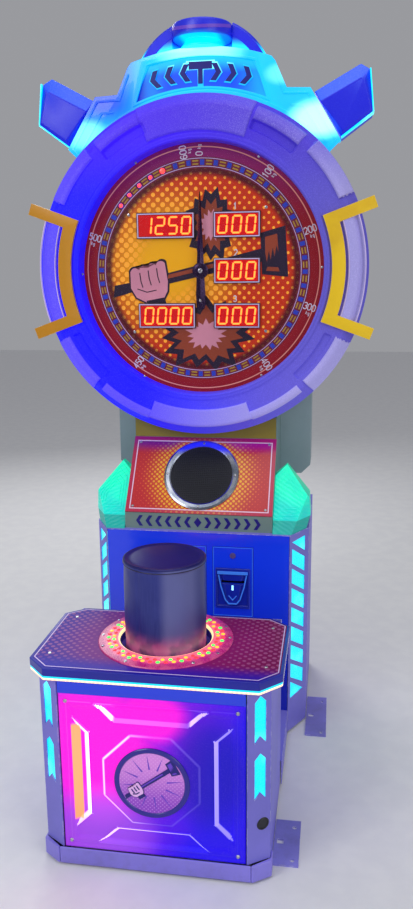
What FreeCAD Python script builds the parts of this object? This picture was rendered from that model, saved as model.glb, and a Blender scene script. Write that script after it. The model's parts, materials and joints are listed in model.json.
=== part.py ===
import FreeCAD, Part
import Sketcher
import math
import os
import re

# A hammer strength tester: a striking pedestal in front, a cabinet column behind it,
# and a large round dial with a light-up crown on top.
#
# Frame: +Z up, +X to the player's right, -Y towards the player. The origin is on the
# floor, under the middle of the machine. In this file every Y is counted from the front
# face of the pedestal; mid_depth moves it to the origin.

App = FreeCAD
Vector = App.Vector

DIMENSIONS = {
    # whole machine
    "mid_depth": 572.5,
    "rear_y": 1150,
    "floor_gap": 6,
    "gauge": 2,
    # pedestal
    "pedestal_flat": 228,
    "pedestal_half": 280,
    "pedestal_bevel": 34,
    "pedestal_rear": 390,
    "corner_gauge": 3,
    "skirt_top": 50,
    "skirt_front": 5,
    "skirt_flat": 240,
    "moulding_top": 466,
    "moulding_half": 224,
    "moulding_depth": 12,
    "recess_depth": 9,
    "emblem_radius": 92,
    "arrow_half": 15,
    "arrow_length": 104,
    "arrow_pitch": 147,
    "arrow_foot": 218,
    # table
    "table_flat": 256,
    "table_half": 306,
    "table_front": 7,
    "table_bevel_end": 43,
    "table_side_end": 307,
    "table_rear": 347,
    "table_underside": 510,
    "table_level": 530,
    "light_gauge": 10,
    "light_inset": 1,
    "light_width": 4,
    # striking unit
    "strike_y": 193,
    "pad_radius": 104,
    "pad_height": 220,
    "hole_radius": 115,
    "ring_radius": 171,
    "ring_gauge": 4,
    "shaft_radius": 15,
    "bush_bore": 15.05,
    "bush_radius": 20,
    "tube_radius": 32,
    "beam_bottom": 300,
    "beam_top": 330,
    "spring_mean": 46,
    "spring_wire": 9,
    "spring_pitch": 22,
    # column
    "column_flat": 286,
    "column_half": 339,
    "column_front": 662,
    "column_bevel_end": 756,
    "column_top": 660,
    "window_pitch": 63,
    "window_low": 12,
    "window_high": 87,
    "window_tall": 47,
    "window_drop": 45,
    "plinth_half": 285,
    "plinth_top": 80,
    "rail_half": 252,
    "frame_foot": 16,
    "frame_length": 1095,
    "tube_width": 40,
    "tube_height": 60,
    # doors in the column front and rear
    "door_width": 123,
    "door_foot": 392,
    "door_head": 616,
    "coin_door_x": 50,
    "cash_door_x": -95,
    "door_gap": 1.5,
    "door_gauge": 4,
    "rear_door_half": 190,
    "rear_door_foot": 150,
    "rear_door_head": 590,
    "lock_radius": 9,
    # speaker panel and neck
    "neck_half": 230,
    "panel_y": 679,
    "panel_foot": 713,
    "panel_length": 262,
    "panel_tilt": 37.4,
    "panel_gauge": 3,
    "neck_y": 838,
    "neck_foot": 921,
    "speaker_centre": 131,
    "speaker_radius": 119,
    "grille_radius": 99,
    # dial
    "dial_z": 1443,
    "dial_front": 742,
    "dial_back": 815,
    "bezel_radius": 497,
    "bezel_hole": 368,
    "face_y": 800,
    "window_y": 764,
    "housing_y": 1024,
    "housing_half": 332,
    "housing_foot": 768,
    "housing_head": 1800,
    "corner_cut": 30,
    "drum_radius": 450,
    "trim_inner": 391,
    "trim_outer": 430,
    "trim_reach": 542,
    "trim_angle": 22,
    "display_height": 76,
    "display_pitch": 133.5,
    # crown
    "crown_radius": 630,
    "crown_clear": 499,
    "crown_depth": 34,
    "crown_wall": 5,
    "sign_low": 520,
    "sign_high": 608,
    "dome_radius": 215,
    "dome_z": 1948,
    "knob_radius": 88,
    "knob_foot": 2074,
    "knob_skirt": 2099,
    "knob_top": 2140,
    # floor brackets
    "bracket_width": 66,
    "bracket_gauge": 4,
    "bolt_hole": 5.5,
}

doc = App.newDocument("StrengthTester")
sheet = doc.addObject("Spreadsheet::Sheet", "Dims")
for row, (alias, number) in enumerate(DIMENSIONS.items(), start=1):
    sheet.set(f"A{row}", alias)
    sheet.set(f"B{row}", str(number))
    sheet.setAlias(f"B{row}", alias)
doc.recompute()

subparts = {}


def dim(alias):
    """The value of one cell of the sheet."""
    return float(sheet.get(alias))


def bound(text):
    """An expression on the sheet's cells, written with their plain aliases."""

    def full_name(word):
        return "Dims." + word.group() if word.group() in DIMENSIONS else word.group()

    return re.sub(r"[a-z_]+", full_name, str(text))


def bind(item, **sizes):
    """Ties properties of an object to the sheet."""
    for name, text in sizes.items():
        item.setExpression(name, bound(text))
    return item


def place(item, x=0, y=0, z=0, axis=(0, 0, 1), angle=0):
    """Puts an object where the sheet says; y is counted from the pedestal's front face."""
    item.Placement = App.Placement(Vector(), App.Rotation(Vector(*axis), angle))
    item.setExpression("Placement.Base.x", bound(x))
    item.setExpression("Placement.Base.y", bound(f"({y}) - mid_depth"))
    item.setExpression("Placement.Base.z", bound(z))
    return item


def finish(name, item):
    """Names an object as one of the machine's sub-parts."""
    item.Label = name
    subparts[name] = item


def box(x, y, z, length, width, height, axis=(0, 0, 1), angle=0):
    """A block from its low corner."""
    block = doc.addObject("Part::Box", "Block")
    bind(block, Length=length, Width=width, Height=height)
    return place(block, x, y, z, axis, angle)


def upright(x, y, z, radius, height):
    """A cylinder standing on its base."""
    rod = doc.addObject("Part::Cylinder", "Rod")
    bind(rod, Radius=radius, Height=height)
    return place(rod, x, y, z)


def facing(x, y, z, radius, depth):
    """A cylinder whose axis runs backwards from its front face."""
    rod = doc.addObject("Part::Cylinder", "Rod")
    bind(rod, Radius=radius, Height=depth)
    return place(rod, x, y, z, (1, 0, 0), -90)


def cut(base, *tools):
    """The base without each tool."""
    for tool in tools:
        piece = doc.addObject("Part::Cut", "Cut")
        piece.Base = base
        piece.Tool = tool
        base = piece
    return base


def fuse(*items):
    """One solid from several that touch or overlap."""
    piece = doc.addObject("Part::MultiFuse", "Fuse")
    piece.Shapes = list(items)
    return piece


def common(first, second):
    """What two solids share."""
    piece = doc.addObject("Part::Common", "Common")
    piece.Base = first
    piece.Tool = second
    return piece


def group(*items):
    """Separate solids kept as one sub-part."""
    piece = doc.addObject("Part::Compound", "Group")
    piece.Links = list(items)
    return piece


def mirrored(item):
    """The same solid on the other side of the machine."""
    piece = doc.addObject("Part::Mirroring", "Mirror")
    piece.Source = item
    piece.Base = (0, 0, 0)
    piece.Normal = (1, 0, 0)
    return piece


def origin_plane(body, role):
    return next(feature for feature in body.Origin.OriginFeatures if feature.Role == role)


def add_outline(sketch, outline):
    """A closed polygon whose corners are held by dimensions from the sketch's origin."""
    first = sketch.GeometryCount
    count = len(outline)
    turns = [math.tau * i / count for i in range(count)]
    corners = [Vector(100 * math.cos(turn), 100 * math.sin(turn)) for turn in turns]
    for i in range(count):
        sketch.addGeometry(Part.LineSegment(corners[i], corners[(i + 1) % count]), False)
    for i in range(count):
        sketch.addConstraint(Sketcher.Constraint("Coincident", first + i, 2, first + (i + 1) % count, 1))
    for i, (across, up) in enumerate(outline):
        for kind, text, start in (("DistanceX", across, corners[i].x), ("DistanceY", up, corners[i].y)):
            index = sketch.addConstraint(Sketcher.Constraint(kind, -1, 1, first + i, 1, start))
            sketch.setExpression(f"Constraints[{index}]", bound(text))


def new_sketch(body, role, outlines):
    sketch = body.newObject("Sketcher::SketchObject", "Sketch")
    sketch.AttachmentSupport = [(origin_plane(body, role), "")]
    sketch.MapMode = "FlatFace"
    for outline in outlines:
        add_outline(sketch, outline)
    return sketch


def plate(role, outline, thickness, holes=(), reverse=False):
    """A body padded from a polygon, with polygon holes."""
    body = doc.addObject("PartDesign::Body", "Plate")
    pad = body.newObject("PartDesign::Pad", "Pad")
    pad.Profile = new_sketch(body, role, [outline, *holes])
    bind(pad, Length=thickness)
    pad.Reversed = reverse
    body.Tip = pad
    return body


def standing(outline, thickness, holes=()):
    """A plate drawn in front view, from its front face backwards."""
    return plate("XZ_Plane", outline, thickness, holes, reverse=True)


def turned(role, profile):
    """A body turned about the vertical line of its sketch."""
    body = doc.addObject("PartDesign::Body", "Turned")
    turn = body.newObject("PartDesign::Revolution", "Turn")
    sketch = new_sketch(body, role, [profile])
    turn.Profile = sketch
    turn.ReferenceAxis = (sketch, ["V_Axis"])
    turn.Angle = 360
    body.Tip = turn
    return body


def turned_upright(profile):
    return turned("XZ_Plane", profile)


def turned_facing(profile):
    return turned("XY_Plane", profile)


def square(x, z, half_x, half_z):
    """A rectangle about its centre."""
    return [
        (f"{x} - {half_x}", f"{z} - {half_z}"),
        (f"{x} + {half_x}", f"{z} - {half_z}"),
        (f"{x} + {half_x}", f"{z} + {half_z}"),
        (f"{x} - {half_x}", f"{z} + {half_z}"),
    ]


def on_panel(item, across, along, depth=0):
    """Places an object on the tilted speaker panel; along runs up it, depth runs into it."""
    item.Placement = App.Placement(Vector(), App.Rotation(Vector(1, 0, 0), -dim("panel_tilt")))
    back = f"panel_y - mid_depth + ({along}) * sin(panel_tilt) + ({depth}) * cos(panel_tilt)"
    up = f"panel_foot + ({along}) * cos(panel_tilt) - ({depth}) * sin(panel_tilt)"
    item.setExpression("Placement.Base.x", bound(across))
    item.setExpression("Placement.Base.y", bound(back))
    item.setExpression("Placement.Base.z", bound(up))
    return item


# ---------------------------------------------------------------- base and pedestal


def make_base_frame():
    """Two long tubes and four cross tubes, welded into a ladder that carries everything."""
    bore_width, bore_height = "tube_width - 6", "tube_height - 6"

    def long_tube(x):
        outer = box(x, 45, "frame_foot", "tube_width", "frame_length", "tube_height")
        bore = box(f"{x} + 3", 44, "frame_foot + 3", bore_width, "frame_length + 2", bore_height)
        return cut(outer, bore)

    def cross_tube(y):
        left, length = "tube_width / 2 - rail_half", "2 * rail_half - tube_width"
        outer = box(left, y, "frame_foot", length, "tube_width", "tube_height")
        bore = box(f"{left} - 1", f"{y} + 3", "frame_foot + 3", f"{length} + 2", bore_width, bore_height)
        return cut(outer, bore)

    rails = [long_tube(x) for x in ("rail_half - tube_width / 2", "-rail_half - tube_width / 2")]
    crosses = [cross_tube(y) for y in (45, 330, 690, 1100)]
    finish("base_frame", group(*rails, *crosses))


def make_levelling_feet():
    """Round screw feet under the long tubes."""
    feet = []
    for x in ("-rail_half", "rail_half"):
        for y in (70, 670, 1120):
            feet.append(fuse(upright(x, y, 0, 22, 9), upright(x, y, 0, 6, "frame_foot")))
    finish("levelling_feet", group(*feet))


def make_plinth_cover():
    """A folded sheet over the frame, between the pedestal and the column."""
    depth = "column_front - pedestal_rear"
    top = box("-plinth_half", "pedestal_rear", "plinth_top - gauge", "2 * plinth_half", depth, "gauge")
    sides = [
        box(x, "pedestal_rear", "floor_gap", "gauge", depth, "plinth_top - floor_gap")
        for x in ("-plinth_half", "plinth_half - gauge")
    ]
    finish("plinth_cover", fuse(top, *sides))


def make_pedestal_panels():
    """Flat side panels and the rear panel."""
    tall = "table_underside - floor_gap"
    deep = "pedestal_rear - pedestal_bevel - 3"
    side = box("pedestal_half - gauge", "pedestal_bevel + 3", "floor_gap", "gauge", deep, tall)
    finish("pedestal_sides", group(side, mirrored(side)))
    rear_height = "table_underside - plinth_top"
    wide = "2 * (pedestal_half - gauge)"
    rear = box("gauge - pedestal_half", "pedestal_rear - gauge", "plinth_top", wide, "gauge", rear_height)
    finish("pedestal_rear_panel", rear)


def make_front_moulding():
    """A square panel with four tapered recesses, which leave a raised cross."""
    middle = "(skirt_top + moulding_top) / 2"
    half_height = "(moulding_top - skirt_top) / 2 - 1"
    body = standing(square("0", middle, "moulding_half", half_height), "moulding_depth")
    shapes = []
    for side in (-1, 1):
        near, far, short, long = 143, 191, 100, 141
        shapes.append([
            (side * near, f"{middle} - {short}"), (side * near, f"{middle} + {short}"),
            (side * far, f"{middle} + {long}"), (side * far, f"{middle} - {long}"),
        ])
        near, far, short, long = 126, 178, 93, 143
        shapes.append([
            (-short, f"{middle} + {side * near}"), (short, f"{middle} + {side * near}"),
            (long, f"{middle} + {side * far}"), (-long, f"{middle} + {side * far}"),
        ])
    pocket = body.newObject("PartDesign::Pocket", "Recesses")
    pocket.Profile = new_sketch(body, "XZ_Plane", shapes)
    bind(pocket, Length="recess_depth")
    pocket.Reversed = False
    body.Tip = pocket
    place(body)
    disc = facing(0, -3, "248", "emblem_radius", 3)
    finish("front_moulding", body)
    finish("front_emblem", disc)


def make_corner_covers():
    """Bevelled corner plates of the pedestal, each with two arrow-shaped windows."""
    width = math.hypot(dim("pedestal_half") - dim("pedestal_flat"), dim("pedestal_bevel"))
    turn = math.degrees(math.atan2(dim("pedestal_bevel"), dim("pedestal_half") - dim("pedestal_flat")))
    middle = width / 2 + 3
    holes = []
    for step in range(2):
        foot = f"arrow_foot + {step} * arrow_pitch"
        holes.append([
            (f"{middle} - arrow_half", foot), (middle, f"{foot} + 18"), (f"{middle} + arrow_half", foot),
            (f"{middle} + arrow_half", f"{foot} + arrow_length"),
            (middle, f"{foot} + arrow_length + 16"), (f"{middle} - arrow_half", f"{foot} + arrow_length"),
        ])
    outline = [(0, "skirt_top"), (width, "skirt_top"), (width, "table_underside"), (0, "table_underside")]
    right = place(standing(outline, "corner_gauge", holes), "pedestal_flat", 0, 0, (0, 0, 1), turn)
    finish("corner_covers", group(right, mirrored(right)))
    lens_outline = square(middle, "(skirt_top + table_underside) / 2 + 55", 20, 160)
    lens = place(standing(lens_outline, "corner_gauge"), axis=(0, 0, 1), angle=turn)
    set_back(lens, "pedestal_flat", "0", "corner_gauge + 0.2", turn)
    return lens


def set_back(lens, x, y, inward, turn):
    """Moves a lens behind its turned cover plate."""
    across, back = math.sin(math.radians(turn)), math.cos(math.radians(turn))
    lens.setExpression("Placement.Base.x", bound(f"{x} - ({inward}) * {across}"))
    lens.setExpression("Placement.Base.y", bound(f"{y} + ({inward}) * {back} - mid_depth"))


def make_skirt():
    """The bottom rail of the pedestal with its two corner caps."""
    height = "skirt_top - floor_gap"
    wide = "2 * skirt_flat - 6"
    rail = box("3 - skirt_flat", "-skirt_front", "floor_gap", wide, "skirt_front - 0.5", height)
    cap_outline = [
        ("skirt_flat - 2", "-skirt_front"), ("skirt_flat + 2", "-skirt_front"),
        ("pedestal_half + 5", "pedestal_bevel - 10"), ("pedestal_half + 5", "pedestal_bevel + 26"),
        ("pedestal_half + 0.5", "pedestal_bevel + 26"), ("pedestal_half + 0.5", "pedestal_bevel - 1"),
        ("skirt_flat - 2", "0.5"),
    ]
    cap = place(plate("XY_Plane", cap_outline, height), z="floor_gap")
    finish("front_skirt", group(rail, cap, mirrored(cap)))


def table_outline():
    """The eight-sided table in plan."""
    flat, half = "table_flat", "table_half"
    return [
        (f"-{flat}", "-table_front"), (flat, "-table_front"),
        (half, "table_bevel_end"), (half, "table_side_end"),
        (flat, "table_rear"), (f"-{flat}", "table_rear"),
        (f"-{half}", "table_side_end"), (f"-{half}", "table_bevel_end"),
    ]


def make_table():
    """The table board, the panel under its front edge and the light strip round it."""
    board = place(plate("XY_Plane", table_outline(), "table_level - table_underside"), z="table_underside")
    hole = upright(0, "strike_y", "table_underside - 1", "hole_radius", 40)
    finish("table_top", cut(board, hole))
    fascia_height = "table_underside - moulding_top"
    finish("table_fascia", box("-moulding_half", 0, "moulding_top", "2 * moulding_half", 3, fascia_height))
    strips = []
    foot = "table_underside - light_gauge"
    for x, y, length, turn in edge_runs():
        strips.append(box(x, y, foot, length, "light_width", "light_gauge", (0, 0, 1), turn))
    finish("edge_light", group(*strips))


def edge_runs():
    """Start, length and heading of each straight light strip under the table's edge."""
    inset = dim("light_inset")
    flat, half = dim("table_flat"), dim("table_half") - inset
    front, side = -dim("table_front") + inset, dim("table_bevel_end")
    bevel = math.hypot(half - flat, side - front)
    turn = math.degrees(math.atan2(side - front, half - flat))
    yield 1 - flat, front, 2 * flat - 2, 0
    yield flat, front + 0.5, bevel - 2, turn
    yield half, side + 1, dim("table_side_end") - side - 2, 90
    yield -flat - (bevel - 2) * math.cos(math.radians(turn)), side - 1, bevel - 2, -turn
    yield dim("light_width") - half, side + 1, dim("table_side_end") - side - 2, 90


# ---------------------------------------------------------------- striking unit


def make_striking_unit():
    """The padded striker on its plunger, the spring under it and the frame that guides it."""
    pad_foot = "table_underside - 6"
    pad_top = "table_level + pad_height"
    pad_profile = [
        (0, pad_foot), ("pad_radius - 3", pad_foot), ("pad_radius", f"{pad_foot} + 3"),
        ("pad_radius", f"{pad_top} - 5"), ("pad_radius - 5", pad_top), (0, pad_top),
    ]
    finish("striking_pad", place(turned_upright(pad_profile), y="strike_y"))
    plunger_profile = [
        (0, 200), ("shaft_radius - 2", 200), ("shaft_radius", 202), ("shaft_radius", 236),
        (24, 236), (24, 256), ("shaft_radius", 256), ("shaft_radius", 486), (30, 492),
        (94, 492), (94, pad_foot), (0, pad_foot),
    ]
    finish("plunger", place(turned_upright(plunger_profile), y="strike_y"))
    tube = upright(0, "strike_y", 260, "tube_radius", 170)
    beam = box(-215, "strike_y - 30", "beam_bottom", 430, 60, "beam_top - beam_bottom")
    bore = upright(0, "strike_y", 259, "bush_radius", 172)
    carrier = cut(fuse(tube, beam), bore)
    posts = [box(x, y, 76, 30, 30, 434) for x in (-245, 215) for y in (60, 296)]
    rails = [box(x, 90, "beam_bottom", 30, 206, 30) for x in (-245, 215)]
    finish("strike_frame", group(carrier, *posts, *rails))
    bushes = []
    for foot in (260, 390):
        sleeve = upright(0, "strike_y", foot, "bush_radius", 40)
        bushes.append(cut(sleeve, upright(0, "strike_y", foot - 1, "bush_bore", 42)))
    finish("guide_bushes", group(*bushes))
    finish("return_spring", make_spring())
    sensor = box("tube_radius + 4", "strike_y - 16", "beam_bottom - 34", 56, 32, 34)
    cable_block = box("tube_radius + 60", "strike_y - 9", "beam_bottom - 26", 14, 18, 20)
    finish("strike_sensor", fuse(sensor, cable_block))


def make_spring():
    """A coil of square wire round the guide tube, from the beam up to the plunger's plate."""
    half, mean, pitch = dim("spring_wire") / 2, dim("spring_mean"), dim("spring_pitch")
    low = dim("beam_top") + half + 0.2
    high = 492 - half - 0.2
    helix = Part.makeHelix(pitch, high - low, mean)
    climb = math.atan2(pitch, math.tau * mean)
    across, up = Vector(1, 0, 0), Vector(0, -math.sin(climb), math.cos(climb))
    corners = [(-1, -1), (1, -1), (1, 1), (-1, 1), (-1, -1)]
    start = Part.makePolygon([across * (mean + a * half) + up * (b * half) for a, b in corners])
    spring = doc.addObject("Part::Feature", "Spring")
    spring.Shape = Part.Wire(helix.Edges).makePipeShell([start], True, True)
    spring.Placement = App.Placement(Vector(0, dim("strike_y") - dim("mid_depth"), low), App.Rotation())
    return spring


def make_ring_plate():
    """The coloured ring on the table and the small lamps in it."""
    profile = [
        ("hole_radius", "table_level"), ("ring_radius", "table_level"),
        ("ring_radius", "table_level + 1.5"), ("ring_radius - 4", "table_level + ring_gauge"),
        ("hole_radius + 3", "table_level + ring_gauge"), ("hole_radius", "table_level + 2"),
    ]
    finish("ring_plate", place(turned_upright(profile), y="strike_y"))
    lamps = []
    count = 24
    for index in range(count):
        angle = math.tau * index / count
        lamp = doc.addObject("Part::Cone", "Lamp")
        bind(lamp, Radius1=6, Radius2=3.5, Height=2.5)
        x = f"{round(math.cos(angle), 6)} * 143"
        y = f"strike_y + {round(math.sin(angle), 6)} * 143"
        lamps.append(place(lamp, x, y, "table_level + ring_gauge"))
    finish("ring_lamps", group(*lamps))


# ---------------------------------------------------------------- column


def make_column_panels():
    """Front, side, rear and top panels of the column."""
    tall = "column_top - gauge - floor_gap"
    deep = "rear_y - column_bevel_end - 2"
    side = box("column_half - gauge", "column_bevel_end + 2", "floor_gap", "gauge", deep, tall)
    finish("column_sides", group(side, mirrored(side)))
    front_half = "column_flat - 3"
    head, foot = "column_top - gauge", "floor_gap"
    front_outline = [
        (f"-({front_half})", "plinth_top"), (front_half, "plinth_top"),
        (front_half, head), (f"-({front_half})", head),
    ]
    openings = [door_hole(x) for x in ("coin_door_x", "cash_door_x")]
    finish("column_front_panel", place(standing(front_outline, "gauge", openings), y="column_front"))
    rear_half = "column_half - gauge"
    rear_outline = [
        (f"-({rear_half})", foot), (rear_half, foot), (rear_half, head), (f"-({rear_half})", head),
    ]
    half, gap = "rear_door_half", "door_gap"
    rear_hole = [
        (f"-{half} - {gap}", f"rear_door_foot - {gap}"), (f"{half} + {gap}", f"rear_door_foot - {gap}"),
        (f"{half} + {gap}", f"rear_door_head + {gap}"), (f"-{half} - {gap}", f"rear_door_head + {gap}"),
    ]
    inlet_hole = square(-255, 104, 24, 14)
    rear = standing(rear_outline, "gauge", [rear_hole, inlet_hole])
    finish("column_rear_panel", place(rear, y="rear_y - gauge"))
    top_outline = [
        ("-column_flat", "column_front"), ("column_flat", "column_front"),
        ("column_half", "column_bevel_end"), ("column_half", "rear_y"),
        ("-column_half", "rear_y"), ("-column_half", "column_bevel_end"),
    ]
    finish("column_top_plate", place(plate("XY_Plane", top_outline, "gauge"), z="column_top - gauge"))


def door_hole(low_x):
    """The opening in the column front for one door."""
    left, right = f"{low_x} - door_gap", f"{low_x} + door_width + door_gap"
    foot, head = "door_foot - door_gap", "door_head + door_gap"
    return [(left, foot), (right, foot), (right, head), (left, head)]


def column_bevel():
    """Width and heading of the column's bevelled corner."""
    across = dim("column_half") - dim("column_flat")
    back = dim("column_bevel_end") - dim("column_front")
    return math.hypot(across, back), math.degrees(math.atan2(back, across))


def make_corner_strips(pedestal_lens):
    """Bevelled strips of the column with nine slanted windows, and the lenses behind all windows."""
    width, turn = column_bevel()
    low, high = "window_low", "window_high"
    first_head = 615
    holes = [[(low, first_head + 21), (high, first_head + 25), (high, f"{first_head + 21} - window_drop")]]
    for step in range(7):
        head = f"{first_head} - {step} * window_pitch"
        holes.append([
            (low, f"{head} - window_tall"), (high, f"{head} - window_tall - window_drop"),
            (high, f"{head} - window_drop"), (low, head),
        ])
    last_head = f"{first_head} - 7 * window_pitch"
    holes.append([(low, f"{last_head} - 57"), (high, f"{last_head} - window_drop - 6"), (low, last_head)])
    head, foot = "column_top - gauge", "floor_gap"
    outline = [(0, foot), (width, foot), (width, head), (0, head)]
    right = place(standing(outline, "gauge", holes), "column_flat", "column_front", 0, (0, 0, 1), turn)
    finish("corner_strips", group(right, mirrored(right)))
    lens = place(standing(square(50, 380, 43, 268), "gauge"), axis=(0, 0, 1), angle=turn)
    set_back(lens, "column_flat", "column_front", "gauge + 0.2", turn)
    finish("light_lenses", group(pedestal_lens, mirrored(pedestal_lens), lens, mirrored(lens)))


def make_lock(name, x, z, face_y):
    """A cam lock: a barrel through the door, a keyed face, and a cam that lies flat at rest."""
    barrel = facing(x, face_y, z, "lock_radius - 2", 20)
    collar = facing(x, f"{face_y} - 3", z, "lock_radius", 3)
    cam = box(f"{x} - 5", f"{face_y} + 16", f"{z} - 7", 34, 3, 14)
    finish(name, fuse(collar, barrel, cam))


def make_front_doors():
    """The coin door with its note reader, the cash door, and a lock in each."""
    proud = "column_front - 2"
    height = "door_head - door_foot"
    middle = "door_width / 2"
    lock_z = 590
    for node, low_x in (("coin_door", "coin_door_x"), ("cash_door", "cash_door_x")):
        leaf = box(low_x, proud, "door_foot", "door_width", "door_gauge", height)
        lock_hole = facing(f"{low_x} + {middle}", f"{proud} - 1", lock_z, "lock_radius - 1.6", 8)
        leaf = cut(leaf, lock_hole)
        if node == "coin_door":
            slot = box(f"{low_x} + {middle} - 36", f"{proud} - 1", 500, 72, 8, 12)
            leaf = cut(leaf, slot)
        finish(node, leaf)
        make_lock(node + "_lock", f"{low_x} + {middle}", lock_z, f"{proud} - 0.4")
    centre = f"coin_door_x + {middle}"
    shell = box(f"{centre} - 53", f"{proud} - 8", 420, 106, 8, 130)
    hollow = box(f"{centre} - 47", f"{proud} - 9", 428, 94, 6, 106)
    tongue = standing([
        (f"{centre} - 32", 530), (f"{centre} - 16", 436), (f"{centre} + 16", 436), (f"{centre} + 32", 530),
    ], 7)
    place(tongue, y=f"{proud} - 7.5")
    mouth = box(f"{centre} - 35", f"{proud} - 10", 500, 70, 12, 10)
    finish("bill_bezel", cut(fuse(cut(shell, hollow), tongue), mouth))
    reader = box(f"{centre} - 44", f"{proud} + door_gauge", 440, 88, 100, 120)
    throat = box(f"{centre} - 35", f"{proud} + door_gauge - 1", 500, 70, 71, 10)
    finish("bill_acceptor", cut(reader, throat))


def make_rear_door():
    """The service door at the back and its lock."""
    wide = "2 * rear_door_half"
    height = "rear_door_head - rear_door_foot"
    leaf = box("-rear_door_half", "rear_y - gauge", "rear_door_foot", wide, "gauge", height)
    hole = facing(165, "rear_y - 4", 370, "lock_radius - 1.6", 8)
    finish("rear_door", cut(leaf, hole))
    barrel = facing(165, "rear_y - 18", 370, "lock_radius - 2", 18.5)
    collar = facing(165, "rear_y + 0.4", 370, "lock_radius", 1.6)
    cam = box(158, "rear_y - 18", 341, 14, 3, 34)
    finish("rear_door_lock", fuse(barrel, collar, cam))


def make_inside_parts():
    """The cash box, power supply, control board and mains inlet inside the column."""
    outer = box(-262, 702, 76, 205, 210, 300)
    inner = box(-260, 704, 78, 201, 206, 300)
    finish("cash_box", cut(outer, inner))
    supply = box(60, 960, 76, 160, 110, 60)
    terminals = box(75, 948, 84, 130, 12, 22)
    finish("power_supply", fuse(supply, terminals))
    board = box(322, 830, 240, 2, 240, 180)
    corners = [(y, z) for y in (845, 1055) for z in (255, 405)]
    spacers = [place(upright(0, 0, 0, 4, 13), 324, y, z, (0, 1, 0), 90) for y, z in corners]
    chips = [box(316, y, z, 6, 36, 26) for y, z in ((880, 300), (950, 300), (950, 360))]
    sink = box(300, 1020, 290, 22, 30, 70)
    finish("main_board", fuse(board, *spacers, *chips, sink))
    shell = box(-278, "rear_y - 26", 91, 46, 26, 26)
    recess = box(-270, "rear_y - 18", 96, 30, 20, 16)
    pins = [box(x, "rear_y - 18.5", 102, 2, 12, 4) for x in (-264, -256, -248)]
    finish("power_inlet", fuse(cut(shell, recess), *pins))


# ---------------------------------------------------------------- neck and speaker


def make_neck():
    """Cheeks and front plate between the column and the head, with the shoulder fairings."""
    cheek_outline = [
        ("panel_y + 3", "column_top"), ("panel_y + 3", "panel_foot - 2"), ("neck_y + 3", "neck_foot - 1.5"),
        ("neck_y + 3", 1050), ("housing_y - 1", 1050), ("housing_y - 1", "housing_foot - 1"),
        ("rear_y", "housing_foot - 1"), ("rear_y", "column_top"),
    ]
    cheek = place(plate("YZ_Plane", cheek_outline, "gauge"), x="neck_half - gauge")
    front = box("-neck_half", "neck_y + 0.5", "neck_foot", "2 * neck_half", "gauge", "990 - neck_foot")
    rear_height = "housing_foot - 1 - column_top"
    wide = "2 * (neck_half - gauge)"
    rear = box("gauge - neck_half", "rear_y - gauge", "column_top", wide, "gauge", rear_height)
    finish("neck_cover", group(cheek, mirrored(cheek), front, rear))
    strip_height = "panel_foot - 2 - column_top"
    finish("name_strip", box("-neck_half", "panel_y", "column_top", "2 * neck_half", 2.5, strip_height))


def make_fairings():
    """Pointed shoulders beside the speaker panel; their front faces lean back as it does."""
    outline = [
        ("neck_half + 1", "column_top"), ("neck_half + 1", 815), (266, 847), (338, 758),
        (343, 698), (331, "column_top"),
    ]
    block = place(standing(outline, "neck_y - column_front - 12"), y="column_front + 8")
    lean = dim("panel_tilt")
    slab = box(180, "column_front + 8", "column_top", 200, 400, 500)
    slab.Placement = App.Placement(Vector(), App.Rotation(Vector(1, 0, 0), 90 - lean))
    slab.setExpression("Placement.Base.x", "180")
    slab.setExpression("Placement.Base.y", bound("column_front + 8 - mid_depth"))
    slab.setExpression("Placement.Base.z", bound("column_top"))
    turn = column_bevel()[1]
    bevel = box("column_flat", "column_front + 4", "column_top - 5", 300, 300, 300, (0, 0, 1), turn - 90)
    keep = cut(block, slab, bevel)
    inner_outline = [
        ("neck_half + 5", "column_top + 3"), ("neck_half + 5", 811), (265, 839), (333, 756),
        (338, 698), (327, "column_top + 3"),
    ]
    hollow = place(standing(inner_outline, 330), y="column_front + 120")
    slab_inner = box(180, 0, 0, 200, 400, 500)
    slab_inner.Placement = App.Placement(Vector(), App.Rotation(Vector(1, 0, 0), 90 - lean))
    slab_inner.setExpression("Placement.Base.x", "180")
    slab_inner.setExpression("Placement.Base.y", bound("column_front + 14 - mid_depth"))
    slab_inner.setExpression("Placement.Base.z", bound("column_top"))
    right = cut(keep, cut(hollow, slab_inner))
    finish("fairings", group(right, mirrored(right)))


def make_speaker():
    """The tilted panel with its chromed ring, grille and loudspeaker."""
    panel_outline = square("0", "panel_length / 2", "neck_half", "panel_length / 2")
    panel = on_panel(standing(panel_outline, "panel_gauge"), 0, 0)
    hole = doc.addObject("Part::Cylinder", "SpeakerHole")
    bind(hole, Radius="grille_radius", Height=20)
    on_panel(hole, 0, "speaker_centre", -10)
    into_panel = App.Rotation(Vector(1, 0, 0), -dim("panel_tilt") - 90)
    hole.Placement = App.Placement(hole.Placement.Base, into_panel)
    finish("speaker_panel", cut(panel, hole))
    ring_profile = [
        ("grille_radius - 1", 0), ("speaker_radius", 0), ("speaker_radius - 1", -3),
        ("speaker_radius - 7", -5), ("grille_radius + 3", -4), ("grille_radius - 1", -2),
    ]
    finish("speaker_ring", on_panel(turned_facing(ring_profile), 0, "speaker_centre"))
    grille_rim = "grille_radius - 1.2"
    grille_profile = [(0, -0.5), ("grille_radius - 3", 1), (grille_rim, 1), (grille_rim, 3), (0, 1.5)]
    finish("speaker_grille", on_panel(turned_facing(grille_profile), 0, "speaker_centre"))
    driver_profile = [
        (0, 78), (0, 38), (18, 38), (86, 8), ("grille_radius - 2", 8), ("grille_radius + 6", 3.2),
        ("grille_radius + 6", 7), (88, 14), (52, 52), (52, 78),
    ]
    finish("speaker_driver", on_panel(turned_facing(driver_profile), 0, "speaker_centre"))


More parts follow.
